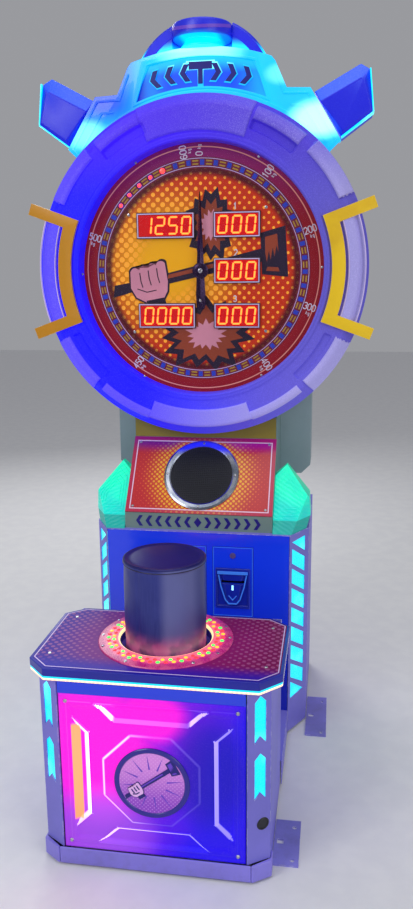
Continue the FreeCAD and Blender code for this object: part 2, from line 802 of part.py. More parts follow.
# ---------------------------------------------------------------- head and dial


def housing_block(inset):
    """The flat box behind the drum, drawn in by inset; its bottom corners are cut off."""
    half, foot = f"housing_half - {inset}", f"housing_foot + {inset}"
    head, slope = f"housing_head - {inset}", "corner_cut"
    outline = [
        (f"-({half})", f"{foot} + {slope}"), (f"{slope} - ({half})", foot), (f"{half} - {slope}", foot),
        (half, f"{foot} + {slope}"), (half, head), (f"-({half})", head),
    ]
    block = standing(outline, f"rear_y - housing_y - 2 * {inset}")
    return place(block, y=f"housing_y + {inset}")


def make_head_housing():
    """The round drum behind the bezel and the flat box behind it, as one hollow moulding."""
    wall = 3
    back_box = housing_block(0)
    cavity = housing_block(wall)
    drum = facing(0, "dial_back", "dial_z", "drum_radius", "housing_y - dial_back + 1")
    bore = facing(0, "dial_back - 1", "dial_z", f"drum_radius - {wall}", "housing_y - dial_back + 1")
    flange = facing(0, "dial_back", "dial_z", "bezel_radius - 8", 4)
    way_through = facing(0, "housing_y - 2", "dial_z", 300, 10)
    finish("head_housing", cut(fuse(back_box, drum, flange), cavity, bore, way_through))


def make_bezel():
    """The hollow bezel ring and the two gold trims on its sides."""
    hole, rim = "bezel_hole", "bezel_radius"
    profile = [
        (hole, "dial_front"), (f"{hole} + 16", "dial_front"), (f"{hole} + 22", "dial_front + 5"),
        (f"{rim} - 36", "dial_front + 5"), (rim, "dial_front + 40"), (rim, "dial_back - 0.3"),
        (f"{rim} - 6", "dial_back - 0.3"), (f"{rim} - 6", "dial_front + 44"),
        (f"{rim} - 40", "dial_front + 12"), (f"{hole} + 7", "dial_front + 12"),
        (f"{hole} + 7", "face_y"), (hole, "face_y"),
    ]
    profile = [(radius, f"{depth} - mid_depth") for radius, depth in profile]
    ring = turned_facing(profile)
    ring.setExpression("Placement.Base.z", bound("dial_z"))
    finish("bezel_ring", ring)
    sector = doc.addObject("Part::Cylinder", "Sector")
    bind(sector, Radius="trim_outer", Height=11, Angle="2 * trim_angle")
    core = facing(0, "dial_front - 10", "dial_z", "trim_inner", 30)
    place(sector, 0, "dial_front - 6", "dial_z")
    sector.Placement = App.Placement(
        sector.Placement.Base,
        App.Rotation(Vector(0, 1, 0), -dim("trim_angle")) * App.Rotation(Vector(1, 0, 0), -90),
    )
    arms = []
    half_width = 17
    for side in (-1, 1):
        arm = doc.addObject("Part::Box", "Arm")
        bind(arm, Length="trim_reach - trim_inner", Width=11, Height=2 * half_width)
        angle = math.radians(side * (dim("trim_angle") - 2))
        radius = dim("trim_inner")
        base = Vector(
            radius * math.cos(angle) + half_width * math.sin(angle), 0,
            dim("dial_z") + radius * math.sin(angle) - half_width * math.cos(angle),
        )
        arm.Placement = App.Placement(Vector(), App.Rotation(Vector(0, 1, 0), -math.degrees(angle)))
        arm.setExpression("Placement.Base.x", str(base.x))
        arm.setExpression("Placement.Base.y", bound("dial_front - 6 - mid_depth"))
        arm.setExpression("Placement.Base.z", str(base.z))
        arms.append(arm)
    right = fuse(cut(sector, core), *arms)
    finish("bezel_trims", group(right, mirrored(right)))


def make_dial():
    """The printed face, the score displays, the pointer with its motor, and the clear cover."""
    disc = facing(0, "face_y", "dial_z", "bezel_hole + 7", 4)
    finish("dial_face", cut(disc, facing(0, "face_y - 1", "dial_z", 3.4, 6)))
    displays = []
    for x, width, row in ((-107, 178, 1), (-107, 178, -1), (109, 141, 1), (109, 141, 0), (109, 141, -1)):
        foot = f"dial_z + {row} * display_pitch - display_height / 2"
        displays.append(box(x - width / 2, "face_y - 12", foot, width, 12, "display_height"))
    finish("score_displays", group(*displays))
    blade = standing([
        (-11, -114), (11, -114), (13, -60), (9, 60), (2, 228), (-2, 228), (-9, 60), (-13, -60),
    ], 3)
    place(blade, y="face_y - 22", z="dial_z")
    hub = facing(0, "face_y - 26", "dial_z", 24, 8)
    shaft = facing(0, "face_y - 20", "dial_z", 3, 34)
    finish("needle", fuse(blade, hub, shaft))
    case = facing(0, "face_y + 4", "dial_z", 30, 46)
    bore = facing(0, "face_y + 3", "dial_z", 3.05, 14)
    finish("needle_motor", cut(case, bore))
    finish("dial_window", facing(0, "window_y", "dial_z", "bezel_hole - 0.5", 3))


# ---------------------------------------------------------------- crown


def crown_block(inset, front, depth):
    """The crown's outline as a block, drawn in by inset all round."""
    half = [(373, 1772), (408, 1805), (318, 1950), (250, 1953), (217, 2025), (180, 2070)]
    right = [(x - inset, f"{z} - {inset}") for x, z in half]
    left = [(-x, z) for x, z in reversed(right)]
    body = place(standing([*right, *left], depth), y=front)
    arch = facing(0, f"{front} - 1", "dial_z", f"crown_radius - {inset}", f"{depth} + 2")
    clear = facing(0, f"{front} - 2", "dial_z", f"crown_clear + {inset}", f"{depth} + 4")
    return cut(common(body, arch), clear)


def sign_block(front, depth, grow):
    """A curved trapezoid, concentric with the dial."""
    foot, head = 1840 - grow, 2080 + grow
    outline = [(-240 - grow, foot), (240 + grow, foot), (129 + grow, head), (-129 - grow, head)]
    body = place(standing(outline, depth), y=front)
    arch = facing(0, f"{front} - 1", "dial_z", f"sign_high + {grow}", f"{depth} + 2")
    clear = facing(0, f"{front} - 2", "dial_z", f"sign_low - {grow}", f"{depth} + 4")
    return cut(common(body, arch), clear)


def make_crown():
    """The translucent crown shell with its sign plate, and the dome with its cap behind."""
    shell = crown_block(0, "dial_back", "crown_depth")
    hollow = crown_block(5, "dial_back + crown_wall", "crown_depth")
    opening = sign_block("dial_back - 1", 8, 0)
    finish("crown_shell", cut(shell, hollow, opening))
    finish("sign_plate", sign_block("dial_back + crown_wall", 3, 4))
    front = "dial_back + crown_depth + 2"
    dome_profile = [
        (0, f"{front} + 10"), (120, f"{front} + 10"), (150, front), ("dome_radius - 8", front),
        ("dome_radius", f"{front} + 8"), ("dome_radius", f"{front} + 142"),
        ("dome_radius - 8", f"{front} + 150"), (20, f"{front} + 150"), (20, f"{front} + 146"),
        ("dome_radius - 10", f"{front} + 146"), ("dome_radius - 4", f"{front} + 140"),
        ("dome_radius - 4", f"{front} + 10"), ("dome_radius - 12", f"{front} + 4"),
        (152, f"{front} + 4"), (122, f"{front} + 14"), (0, f"{front} + 14"),
    ]
    dome_profile = [(radius, f"{depth} - mid_depth") for radius, depth in dome_profile]
    dome = turned_facing(dome_profile)
    dome.setExpression("Placement.Base.z", bound("dome_z"))
    lower = facing(0, "dial_back - 1", "dial_z", "crown_clear", 260)
    well = upright(0, f"{front} + 10", "knob_foot - 1", "knob_radius + 1", 200)
    finish("dome", cut(dome, lower, well))
    cap = upright(0, f"{front} + 10", "knob_skirt", "knob_radius", "knob_top - knob_skirt")
    neck = doc.addObject("Part::Cone", "Neck")
    bind(neck, Radius1="knob_radius - 20", Radius2="knob_radius - 42", Height="knob_skirt - knob_foot + 1")
    place(neck, 0, f"{front} + 10", "knob_foot")
    finish("dome_cap", fuse(cap, neck))
    horn_outline = [(328, 1943), (458, 2012), (484, 1995), (497, 1878), (408, 1814)]
    horn = place(standing(horn_outline, 90), y="dial_back")
    core_outline = [(320, 1934), (457, 2006), (479, 1991), (491, 1881), (400, 1816)]
    core = place(standing(core_outline, 80), y="dial_back + 5")
    horn = cut(horn, core)
    finish("horns", group(horn, mirrored(horn)))


# ---------------------------------------------------------------- fixings


def make_floor_brackets():
    """Flat plates with two bolt holes and a square slot, fixed at the foot of the sides."""

    def bracket(x, y, depth):
        base = box(x, y, 0, "bracket_width", depth, "bracket_gauge")
        holes = [
            upright(f"{x} + bracket_width - 16", f"{y} + {offset}", -1, "bolt_hole", 10)
            for offset in (20, float(depth) - 28)
        ]
        slot = box(f"{x} + 8", f"{y} + {float(depth) / 2 - 8}", -1, 16, 16, 10)
        return cut(base, *holes, slot)

    column_side = bracket("column_half + 2", 656, 240)
    pedestal_side = bracket("pedestal_half + 1", 68, 170)
    finish("floor_brackets", group(column_side, mirrored(column_side), pedestal_side))


def screw_head(x, y, z, direction):
    """A domed screw head standing on a surface that faces up or forwards."""
    head = doc.addObject("Part::Cone", "ScrewHead")
    bind(head, Radius1=5, Radius2=3.2, Height=2.4)
    if direction == "up":
        return place(head, x, y, z)
    return place(head, x, y, z, (1, 0, 0), 90)


def panel_screw(across, along, radius=4.5, lift=0):
    """A screw head on the speaker panel."""
    head = doc.addObject("Part::Cone", "PanelScrew")
    bind(head, Radius1=radius, Radius2=radius * 0.65, Height=2)
    on_panel(head, across, along, -lift)
    out_of_panel = App.Rotation(Vector(1, 0, 0), 90 - dim("panel_tilt"))
    head.Placement = App.Placement(head.Placement.Base, out_of_panel)
    return head


def make_screws():
    """All the exposed screw heads."""
    heads = [screw_head(x, y, "table_level", "up") for x in (-264, 264) for y in (70, 284)]
    ring_angles = (5, 65, 125, 185, 245, 305)
    for angle in ring_angles:
        x, y = 161 * math.cos(math.radians(angle)), 161 * math.sin(math.radians(angle))
        heads.append(screw_head(round(x, 4), f"strike_y + {round(y, 4)}", "table_level + ring_gauge", "up"))
    heads += [screw_head(x, 0, z, "front") for x in (-206, 206) for z in (70, 446)]
    for across in (-208, 208):
        for along in (20, "panel_length - 20"):
            heads.append(panel_screw(across, along))
    for angle in (0, 90, 180, 270):
        across = round(108 * math.cos(math.radians(angle)), 4)
        along = f"speaker_centre + {round(108 * math.sin(math.radians(angle)), 4)}"
        heads.append(panel_screw(across, along, 4, 5))
    finish("panel_screws", group(*heads))


make_base_frame()
make_levelling_feet()
make_plinth_cover()
make_pedestal_panels()
make_front_moulding()
pedestal_lens = make_corner_covers()
make_skirt()
make_table()
make_striking_unit()
make_ring_plate()
make_column_panels()
make_corner_strips(pedestal_lens)
make_front_doors()
make_rear_door()
make_inside_parts()
make_neck()
make_fairings()
make_speaker()
make_head_housing()
make_bezel()
make_dial()
make_crown()
make_floor_brackets()
make_screws()

doc.recompute()

problems = []
for item in doc.Objects:
    if {"Invalid", "Error"} & set(item.State):
        problems.append(f"{item.Name} ({item.Label}): {item.State}")
for name, item in subparts.items():
    if item.Shape.isNull() or not item.Shape.isValid() or not item.Shape.Solids:
        problems.append(f"{name}: no valid solid")
if problems:
    raise RuntimeError("\n".join(problems))

os.makedirs("parts", exist_ok=True)
whole = App.BoundBox()
for name, item in subparts.items():
    item.Shape.exportStep(f"parts/{name}.step")
    whole.add(item.Shape.BoundBox)
    print(f"{name:22s} {len(item.Shape.Solids):3d} solids {item.Shape.Volume / 1000:10.1f} cm3")
print(len(subparts), "sub-parts", whole)
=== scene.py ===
import json
import math
from functools import partialmethod

import bpy
import bmesh
from mathutils import Matrix, Vector

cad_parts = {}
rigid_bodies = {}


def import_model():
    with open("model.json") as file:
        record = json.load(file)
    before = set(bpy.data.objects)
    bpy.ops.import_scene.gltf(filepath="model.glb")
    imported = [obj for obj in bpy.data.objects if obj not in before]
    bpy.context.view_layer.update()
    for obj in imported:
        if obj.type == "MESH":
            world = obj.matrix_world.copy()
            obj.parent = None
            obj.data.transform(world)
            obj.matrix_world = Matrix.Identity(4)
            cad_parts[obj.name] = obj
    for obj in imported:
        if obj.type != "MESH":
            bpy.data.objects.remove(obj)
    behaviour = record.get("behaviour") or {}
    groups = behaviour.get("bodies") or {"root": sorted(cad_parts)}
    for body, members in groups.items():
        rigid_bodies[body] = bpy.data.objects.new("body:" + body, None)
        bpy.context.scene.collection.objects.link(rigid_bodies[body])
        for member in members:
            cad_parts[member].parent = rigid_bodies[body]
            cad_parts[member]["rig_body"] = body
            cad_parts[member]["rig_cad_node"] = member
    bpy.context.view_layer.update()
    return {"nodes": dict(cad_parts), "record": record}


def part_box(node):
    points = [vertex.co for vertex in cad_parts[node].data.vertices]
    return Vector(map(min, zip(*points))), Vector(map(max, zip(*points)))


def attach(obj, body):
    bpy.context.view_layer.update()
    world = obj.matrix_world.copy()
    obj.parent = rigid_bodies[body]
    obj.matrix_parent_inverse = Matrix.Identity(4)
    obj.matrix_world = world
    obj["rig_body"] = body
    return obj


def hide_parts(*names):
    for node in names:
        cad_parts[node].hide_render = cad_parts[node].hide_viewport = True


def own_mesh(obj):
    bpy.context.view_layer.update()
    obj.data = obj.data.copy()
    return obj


# The looks of a hammer strength tester: a striking pedestal, a column, a lit dial and a lit crown.
# Everything is in metres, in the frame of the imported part: +Z up, -Y towards the player.

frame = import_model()
nodes = frame["nodes"]

TAU = math.tau


def centre(node):
    """The middle of a CAD node's box."""
    low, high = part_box(node)
    return (low + high) / 2


DIAL = centre("dial_face")
AXIS = (DIAL.x, DIAL.z)
FACE_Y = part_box("dial_face")[0].y
DIAL_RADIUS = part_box("dial_face")[1].x
BEZEL_LOW, BEZEL_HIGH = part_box("bezel_ring")
WINDOW_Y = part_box("dial_window")[0].y
PAD_LOW, PAD_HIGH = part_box("striking_pad")
PAD = (PAD_LOW + PAD_HIGH) / 2
PAD_AXIS = (PAD.x, PAD.y)
TABLE_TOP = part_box("table_top")[1].z
STRIP_LOW, STRIP_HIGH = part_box("edge_light")
STRIP_MIDDLE = (STRIP_LOW.z + STRIP_HIGH.z) / 2
PANEL_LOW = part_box("speaker_panel")[0]
FAIRING_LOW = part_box("fairings")[0]
CROWN_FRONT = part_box("crown_shell")[0].y
SIGN_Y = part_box("sign_plate")[0].y
NAME_LOW, NAME_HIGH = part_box("name_strip")
# The speaker panel leans back by LEAN; the loudspeaker's middle is SPEAKER_ALONG up from its foot.
LEAN = math.radians(37.4)
SPEAKER_ALONG = 0.131
# Half the width, half the height and the middle height of the backlit panel's pattern.
MOULDING_HALF_WIDTH, MOULDING_HALF_HEIGHT, MOULDING_MIDDLE = 0.224, 0.208, 0.258
DOME_MIDDLE = 1.948
TRACK_RADIUS = 0.312
# Tops of the lamp ring's slope and of its screws' seats.
LAMP_SEAT, SCREW_SEAT = 0.5352, 0.5345

# The photograph's camera: its place, its turns in degrees and its lens on a full-frame sensor.
CAMERA_SPOT = (0.402, -2.2092, 1.4143)
CAMERA_YAW, CAMERA_PITCH, CAMERA_ROLL = 9.1336, 12.3455, -0.5317
CAMERA_LENS_MM, SENSOR_WIDTH_MM = 31.474, 36

# Studio lights: name, place, aim, power in watts and width.
LIGHTS = (
    ("key", (-2.2, -3.0, 3.2), (0, -0.1, 1.1), 52, 1.8),
    ("fill", (2.8, -2.6, 2.2), (0, 0, 1.0), 34, 2.2),
    ("top", (0.2, -0.6, 3.9), (0, 0, 1.0), 22, 2.0),
    ("back", (-1.2, 3.2, 2.8), (0, 0, 1.2), 45, 2.0),
)
FLOOR_REACH = 14.0
SKY_COLOUR, SKY_STRENGTH = (0.80, 0.81, 0.86, 1.0), 0.40


# ---------------------------------------------------------------- shader arithmetic


def feed(tree, target, item):
    """Link a worked-out value or colour to a socket, or set a plain one on it."""
    item = getattr(item, "socket", item)
    if isinstance(item, bpy.types.NodeSocket):
        tree.links.new(item, target)
    else:
        target.default_value = (*item, 1.0) if isinstance(item, tuple) else item


class Number:
    """A value worked out by math nodes, so that a pattern can be written as a sum."""

    def __init__(self, tree, socket):
        self.tree, self.socket = tree, socket

    def combine(self, operation, *others):
        """The result of one math node."""
        node = self.tree.nodes.new("ShaderNodeMath")
        node.operation = operation
        for target, item in zip(node.inputs, (self, *others)):
            feed(self.tree, target, item)
        return Number(self.tree, node.outputs[0])

    __add__ = partialmethod(combine, "ADD")
    __sub__ = partialmethod(combine, "SUBTRACT")
    __mul__ = partialmethod(combine, "MULTIPLY")
    __truediv__ = partialmethod(combine, "DIVIDE")
    power = partialmethod(combine, "POWER")
    fract = partialmethod(combine, "FRACT")
    sine = partialmethod(combine, "SINE")
    absolute = partialmethod(combine, "ABSOLUTE")
    least = partialmethod(combine, "MINIMUM")
    most = partialmethod(combine, "MAXIMUM")

    def inverse(self):
        """1 less the value."""
        return self * -1 + 1

    def step(self, low, high):
        """0 at low, 1 at high, smooth between."""
        node = self.tree.nodes.new("ShaderNodeMapRange")
        node.interpolation_type = "SMOOTHSTEP"
        for name, item in (("Value", self), ("From Min", low), ("From Max", high)):
            feed(self.tree, node.inputs[name], item)
        return Number(self.tree, node.outputs[0])

    def band(self, low, high, soft):
        """1 between low and high, 0 outside."""
        return self.step(low - soft, low) * self.step(high, high + soft).inverse()


class Shade:
    """The tools that a material's pattern is made with."""

    def __init__(self, name):
        self.material = bpy.data.materials.new(name)
        self.material.use_nodes = True
        self.tree = self.material.node_tree
        self.shader = self.tree.nodes["Principled BSDF"]
        self.place = self.node("TexCoord").outputs["Object"]
        self.x, self.y, self.z = self.parts(self.place)

    def node(self, kind, **values):
        """A new node, with its inputs set or linked by name."""
        node = self.tree.nodes.new("ShaderNode" + kind)
        for name, item in values.items():
            feed(self.tree, node.inputs[name], item)
        return node

    def parts(self, vector):
        """The three numbers of a vector socket."""
        split = self.node("SeparateXYZ", Vector=vector)
        return [Number(self.tree, socket) for socket in split.outputs]

    def noise(self, scale, detail=3.0, stretch=None, roughness=0.55):
        """A noise over the object's own coordinates, which stretch can scale by axis."""
        source = self.place
        if stretch:
            mapping = self.node("Mapping", Vector=source)
            mapping.inputs["Scale"].default_value = stretch
            source = mapping.outputs[0]
        node = self.node("TexNoise", Scale=scale, Detail=detail, Roughness=roughness, Vector=source)
        return Number(self.tree, node.outputs[0])

    def mix(self, factor, first, second):
        """A colour between two, each a tuple or an earlier mix."""
        node = self.node("Mix")
        node.data_type = "RGBA"
        sockets = [s for s in node.inputs if s.type == "RGBA"]
        for target, item in zip((node.inputs[0], *sockets), (factor, first, second)):
            feed(self.tree, target, item)
        return next(s for s in node.outputs if s.type == "RGBA")

    def radius(self, x, z):
        """Distance from a line that runs along Y."""
        across, up = self.x - x, self.z - z
        return (across * across + up * up).power(0.5)

    def plan_radius(self, x, y):
        """Distance from a line that runs along Z."""
        across, back = self.x - x, self.y - y
        return (across * across + back * back).power(0.5)

    def dots(self, u, v, pitch, size):
        """Halftone dots on a diagonal grid; size is a share of the pitch."""
        first = ((u + v) / (pitch * 1.414)).fract() - 0.5
        second = ((u - v) / (pitch * 1.414)).fract() - 0.5
        gap = (first * first + second * second).power(0.5)
        return gap.step(size - 0.05, size + 0.05).inverse()

    def edges(self, width=0.0025):
        """1 at the object's edges, 0 on its flats."""
        bevel = self.node("Bevel", Radius=width)
        bevel.samples = 4
        dot = self.node("VectorMath")
        dot.operation = "DOT_PRODUCT"
        feed(self.tree, dot.inputs[0], bevel.outputs[0])
        feed(self.tree, dot.inputs[1], self.node("NewGeometry").outputs["Normal"])
        return Number(self.tree, dot.outputs["Value"]).step(0.7, 0.99).inverse()

    def facing(self):
        """The three parts of the surface's normal; the second is -1 where it faces the player."""
        return self.parts(self.node("NewGeometry").outputs["Normal"])

    def set(self, **values):
        """Uniform values or links for the shader, by its input names with _ for a space."""
        for name, item in values.items():
            feed(self.tree, self.shader.inputs[name.replace("_", " ")], item)

    def glow(self, colour, strength):
        """Light given off by the surface."""
        self.set(Emission_Color=colour, Emission_Strength=strength)

    def bump(self, height, strength, distance=0.001):
        """Fine relief from a height."""
        node = self.node("Bump", Strength=strength, Distance=distance, Height=height)
        self.set(Normal=node.outputs[0])

    def finish(self, base, rough, relief=None, glow=None, **values):
        """The finished material; relief is (height, strength[, distance])."""
        self.set(Base_Color=base, Roughness=rough, **values)
        if glow is not None:
            self.glow(base, glow)
        if relief:
            self.bump(*relief)
        return self.material


def surface(name, colour, rough, metal=0.0, grain=300, bump=0.12, cloud=0.16, coat=0.0, wear=None,
            pattern=None, stretch=None, glow=0.0):
    """A worn, slightly uneven finish. pattern may return another base colour to build on."""
    shade = Shade(name)
    base = colour if pattern is None else pattern(shade)
    large, fine = shade.noise(5, 4), shade.noise(grain, 3, stretch)
    dark = tuple(channel * (1 - cloud) for channel in colour)
    if pattern is None:
        base = shade.mix(large.step(0.35, 0.7), dark, base)
    base = shade.mix((fine.step(0.62, 0.8)) * 0.22, base, tuple(c * 0.55 for c in colour))
    if wear:
        base = shade.mix(shade.edges() * shade.noise(60, 2).step(0.45, 0.6) * 0.8, base, wear)
    grime = shade.z.step(0.10, 0.0) * shade.noise(40, 4).step(0.40, 0.7) * 0.16
    base = shade.mix(grime, base, (0.05, 0.045, 0.04))
    return shade.finish(base, large * 0.14 + fine * 0.12 + (rough - 0.13), (fine, bump), glow or None,
                        Metallic=metal, Coat_Weight=coat, Coat_Roughness=0.08)


# ---------------------------------------------------------------- meshes


def recalculated(mesh):
    """Turn every face outwards."""
    work = bmesh.new()
    work.from_mesh(mesh)
    bmesh.ops.recalc_face_normals(work, faces=work.faces)
    work.to_mesh(mesh)
    work.free()


def piece(name, verts, faces, material, slot, body="cabinet", bevel=0.0, segments=2, smooth=True):
    """A mesh of the object, riding on a body and finished with a material; slot is not used."""
    mesh = bpy.data.meshes.new(name)
    mesh.from_pydata([tuple(v) for v in verts], [], faces)
    recalculated(mesh)
    item = bpy.data.objects.new(name, mesh)
    bpy.context.scene.collection.objects.link(item)
    return dress(item, material, slot, body, bevel, segments, smooth)


def dress(item, material, slot, body="cabinet", bevel=0.0, segments=2, smooth=True):
    """Give a piece its material, its shading, a rounding of its edges and its body; slot is not used."""
    mesh = item.data
    mesh.materials.clear()
    mesh.materials.append(M[material])
    if smooth:
        mesh.polygons.foreach_set("use_smooth", [True] * len(mesh.polygons))
        if not bevel:
            mesh.set_sharp_from_angle(angle=math.radians(38))
    if bevel:
        rounding = item.modifiers.new("Rounding", "BEVEL")
        rounding.width = bevel
        rounding.segments = segments
        rounding.limit_method = "ANGLE"
        rounding.angle_limit = math.radians(32)
        rounding.harden_normals = True
        rounding.use_clamp_overlap = True
    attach(item, body)
    return item


def rounded_copy(node, material, slot, width, segments=3, body="cabinet"):
    """A CAD node rebuilt with clean faces and rounded edges, which stands for that node."""
    item = nodes[node].copy()
    item.data = nodes[node].data.copy()
    item.name = node + "_skin"
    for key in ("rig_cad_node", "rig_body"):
        if key in item:
            del item[key]
    item.parent = None
    bpy.context.scene.collection.objects.link(item)
    work = bmesh.new()
    work.from_mesh(item.data)
    bmesh.ops.remove_doubles(work, verts=work.verts, dist=2e-5)
    bmesh.ops.dissolve_limit(work, angle_limit=math.radians(0.7), verts=work.verts, edges=work.edges)
    bmesh.ops.recalc_face_normals(work, faces=work.faces)
    mesh = bpy.data.meshes.new(item.name)
    work.to_mesh(mesh)
    work.free()
    item.data = mesh
    dress(item, material, slot, body, width, segments)
    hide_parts(node)
    return item


def skin(rings, size, closed=False):
    """Quads between neighbouring rings, of a run of rings with that many points each."""
    faces = []
    for i in range(rings if closed else rings - 1):
        a, b = size * i, size * ((i + 1) % rings)
        faces += [[a + j, a + (j + 1) % size, b + (j + 1) % size, b + j] for j in range(size)]
    return faces


def ends(rings, size=4):
    """The faces that close the first and the last of a run of rings."""
    return [list(range(size)), list(range(rings * size - 1, (rings - 1) * size - 1, -1))]


def upright(a, u, d):
    """A point given as across, up and depth, on a plane that faces the player."""
    return Vector((a, d, u))


class Shape:
    """Vertices and faces gathered from several simple solids."""

    def __init__(self):
        self.verts, self.faces = [], []

    def add(self, verts, faces):
        """Join another solid."""
        start = len(self.verts)
        self.verts += [Vector(v) for v in verts]
        self.faces += [[start + i for i in face] for face in faces]

    def prism(self, outline, front, back, frame_of=None):
        """A polygon given as (across, up), swept from front to back."""
        count = len(outline)
        to_world = frame_of or upright
        ring = [to_world(a, u, d) for d in (front, back) for a, u in outline]
        self.add(ring, skin(2, count) + ends(2, count))

    def stroke(self, points, width, front, back, frame_of=None, closed=False):
        """A line of constant width along points, as one prism for each run, mitred."""
        left, right = rails(points, width / 2, closed)
        count = len(points)
        to_world = frame_of or upright
        ring = []
        for l, r in zip(left, right):
            ring += [to_world(*l, front), to_world(*r, front), to_world(*r, back), to_world(*l, back)]
        faces = [[a, d, c, b] for a, b, c, d in skin(count, 4, closed)]
        self.add(ring, faces if closed else faces + ends(count))

    def build(self, name, material, slot, body="cabinet", bevel=0.0, segments=2, smooth=True):
        """The piece made of everything gathered."""
        return piece(name, self.verts, self.faces, material, slot, body, bevel, segments, smooth)


def rails(points, half, closed):
    """The two sides of a line, mitred at its corners."""
    count = len(points)
    left, right = [], []
    for i in range(count):
        here = Vector(points[i])
        before = Vector(points[i - 1]) if closed or i else None
        after = Vector(points[(i + 1) % count]) if closed or i < count - 1 else None
        into = (here - before).normalized() if before else (after - here).normalized()
        out = (after - here).normalized() if after else into
        across = (Vector((-into.y, into.x)) + Vector((-out.y, out.x))).normalized()
        scale = half / max(0.35, across.dot(Vector((-into.y, into.x))))
        left.append(tuple(here + across * scale))
        right.append(tuple(here - across * scale))
    return left, right


def lathe(profile, count, axis="Z", centre_at=(0, 0, 0)):
    """Vertices and faces of a profile of (radius, along) turned about an axis."""
    verts, faces = [], []
    rows = len(profile)
    for i in range(count):
        angle = TAU * i / count
        for radius, along in profile:
            across, other = radius * math.cos(angle), radius * math.sin(angle)
            point = (across, other, along) if axis == "Z" else (across, along, other)
            verts.append(Vector(point) + Vector(centre_at))
    for i in range(count):
        after = (i + 1) % count
        for j in range(rows - 1):
            faces.append([i * rows + j, after * rows + j, after * rows + j + 1, i * rows + j + 1])
    return verts, faces


def closed_lathe(profile, count, axis="Z", centre_at=(0, 0, 0)):
    """A profile turned about an axis; its ends lie on the axis and are closed there."""
    inner = [p for p in profile if p[0] > 1e-7]
    verts, faces = lathe(inner, count, axis, centre_at)
    rows = len(inner)
    for end, row in ((profile[0], 0), (profile[-1], rows - 1)):
        if end[0] > 1e-7:
            continue
        point = (0, 0, end[1]) if axis == "Z" else (0, end[1], 0)
        verts.append(Vector(point) + Vector(centre_at))
        tip = len(verts) - 1
        faces += [[i * rows + row, (i + 1) % count * rows + row, tip] for i in range(count)]
    return verts, faces


def ring_lathe(profile, count, axis="Z", centre_at=(0, 0, 0)):
    """A closed profile turned about an axis that it doesn't touch."""
    verts, faces = lathe(profile, count, axis, centre_at)
    rows = len(profile)
    for i in range(count):
        after = (i + 1) % count
        faces.append([i * rows + rows - 1, after * rows + rows - 1, after * rows, i * rows])
    return verts, faces


def smooth_step(value, low, high):
    """0 at low, 1 at high, smooth between."""
    t = min(1.0, max(0.0, (value - low) / (high - low)))
    return t * t * (3 - 2 * t)


def polar(radius, degrees, about=(0.0, 0.0)):
    """A point at a radius and an angle."""
    angle = math.radians(degrees)
    return about[0] + radius * math.cos(angle), about[1] + radius * math.sin(angle)


def placing(x, z, degrees, size):
    """A function that scales and turns a flat point, then moves it to (x, z)."""
    cosine, sine = math.cos(math.radians(degrees)), math.sin(math.radians(degrees))

    def put(a, u):
        """The placed point."""
        a, u = a * size, u * size
        return x + a * cosine - u * sine, z + a * sine + u * cosine

    return put


def arc(radius, start, end, count, about=(0.0, 0.0)):
    """Points along an arc, both ends included."""
    return [polar(radius, start + (end - start) * i / count, about) for i in range(count + 1)]


def add_cap(shape, centre_at, axis, radius, height, count=16):
    """Add a small domed cap, such as a lens or a screw head."""
    profile = [(0, 0), (radius, 0), (radius, height * 0.35), (radius * 0.9, height * 0.72),
               (radius * 0.55, height * 0.95), (0, height)]
    verts, faces = closed_lathe(profile, count, "Z")
    turn = Vector((0, 0, 1)).rotation_difference(Vector(axis)).to_matrix()
    shape.add([turn @ v + Vector(centre_at) for v in verts], faces)


def screws(name, spots, axis, size, material, slot):
    """Screw heads at several places; size is their radius and height."""
    shape = Shape()
    for spot in spots:
        add_cap(shape, spot, axis, *size, 14)
    shape.build(name, material, slot)


def rectangle(low_a, high_a, low_u, high_u, inset=0.0):
    """The corners of a rectangle, moved inwards by inset."""
    return [(low_a + inset, low_u + inset), (high_a - inset, low_u + inset),
            (high_a - inset, high_u - inset), (low_a + inset, high_u - inset)]


# ---------------------------------------------------------------- finishes

WHITE_WEAR = (0.82, 0.82, 0.86)


def glossy_blue(shade):
    """Blue that is lighter towards the top of the column."""
    depth = shade.z.step(0.1, 0.62)
    return shade.mix(depth, (0.003, 0.014, 0.42), (0.003, 0.042, 0.86))


def bezel_finish(name, lit, shaded, glow):
    """Speckled moulding: its own lilac towards the right, and blue where the blue light falls."""
    shade = Shade(name)
    lean = (shade.x - DIAL.x) * 0.9 + (shade.z - DIAL.z) * -0.10
    side = lean.step(-0.16, 0.34)
    top = (shade.z - DIAL.z).step(0.18, 0.44)
    base = shade.mix(side, shaded, lit)
    base = shade.mix(top * 0.7, base, (0.060, 0.012, 0.66))
    speckle = shade.noise(420, 2).step(0.50, 0.66)
    base = shade.mix(speckle * (side * 0.26 + 0.07), base, tuple(min(1.0, c * 1.5 + 0.03) for c in lit))
    left = (shade.x - DIAL.x).step(0.30, -0.48)
    low = (shade.z - DIAL.z).step(0.05, -0.5)
    grain = shade.noise(520, 2)
    return shade.finish(base, shade.noise(12, 3) * 0.2 + grain * 0.1 + 0.38, (grain, 0.35, 0.0008),
                        (left * 0.75 + low * 0.30 + 0.10) * glow, Specular_IOR_Level=0.28)


# The patches of light in the crown: across, up, reach and strength.
CROWN_LAMPS = ((0.345, 1.865, 0.11, 1.2), (-0.355, 1.845, 0.09, 0.55), (0.0, 2.065, 0.15, 0.75),
               (0.235, 1.99, 0.06, 0.35))


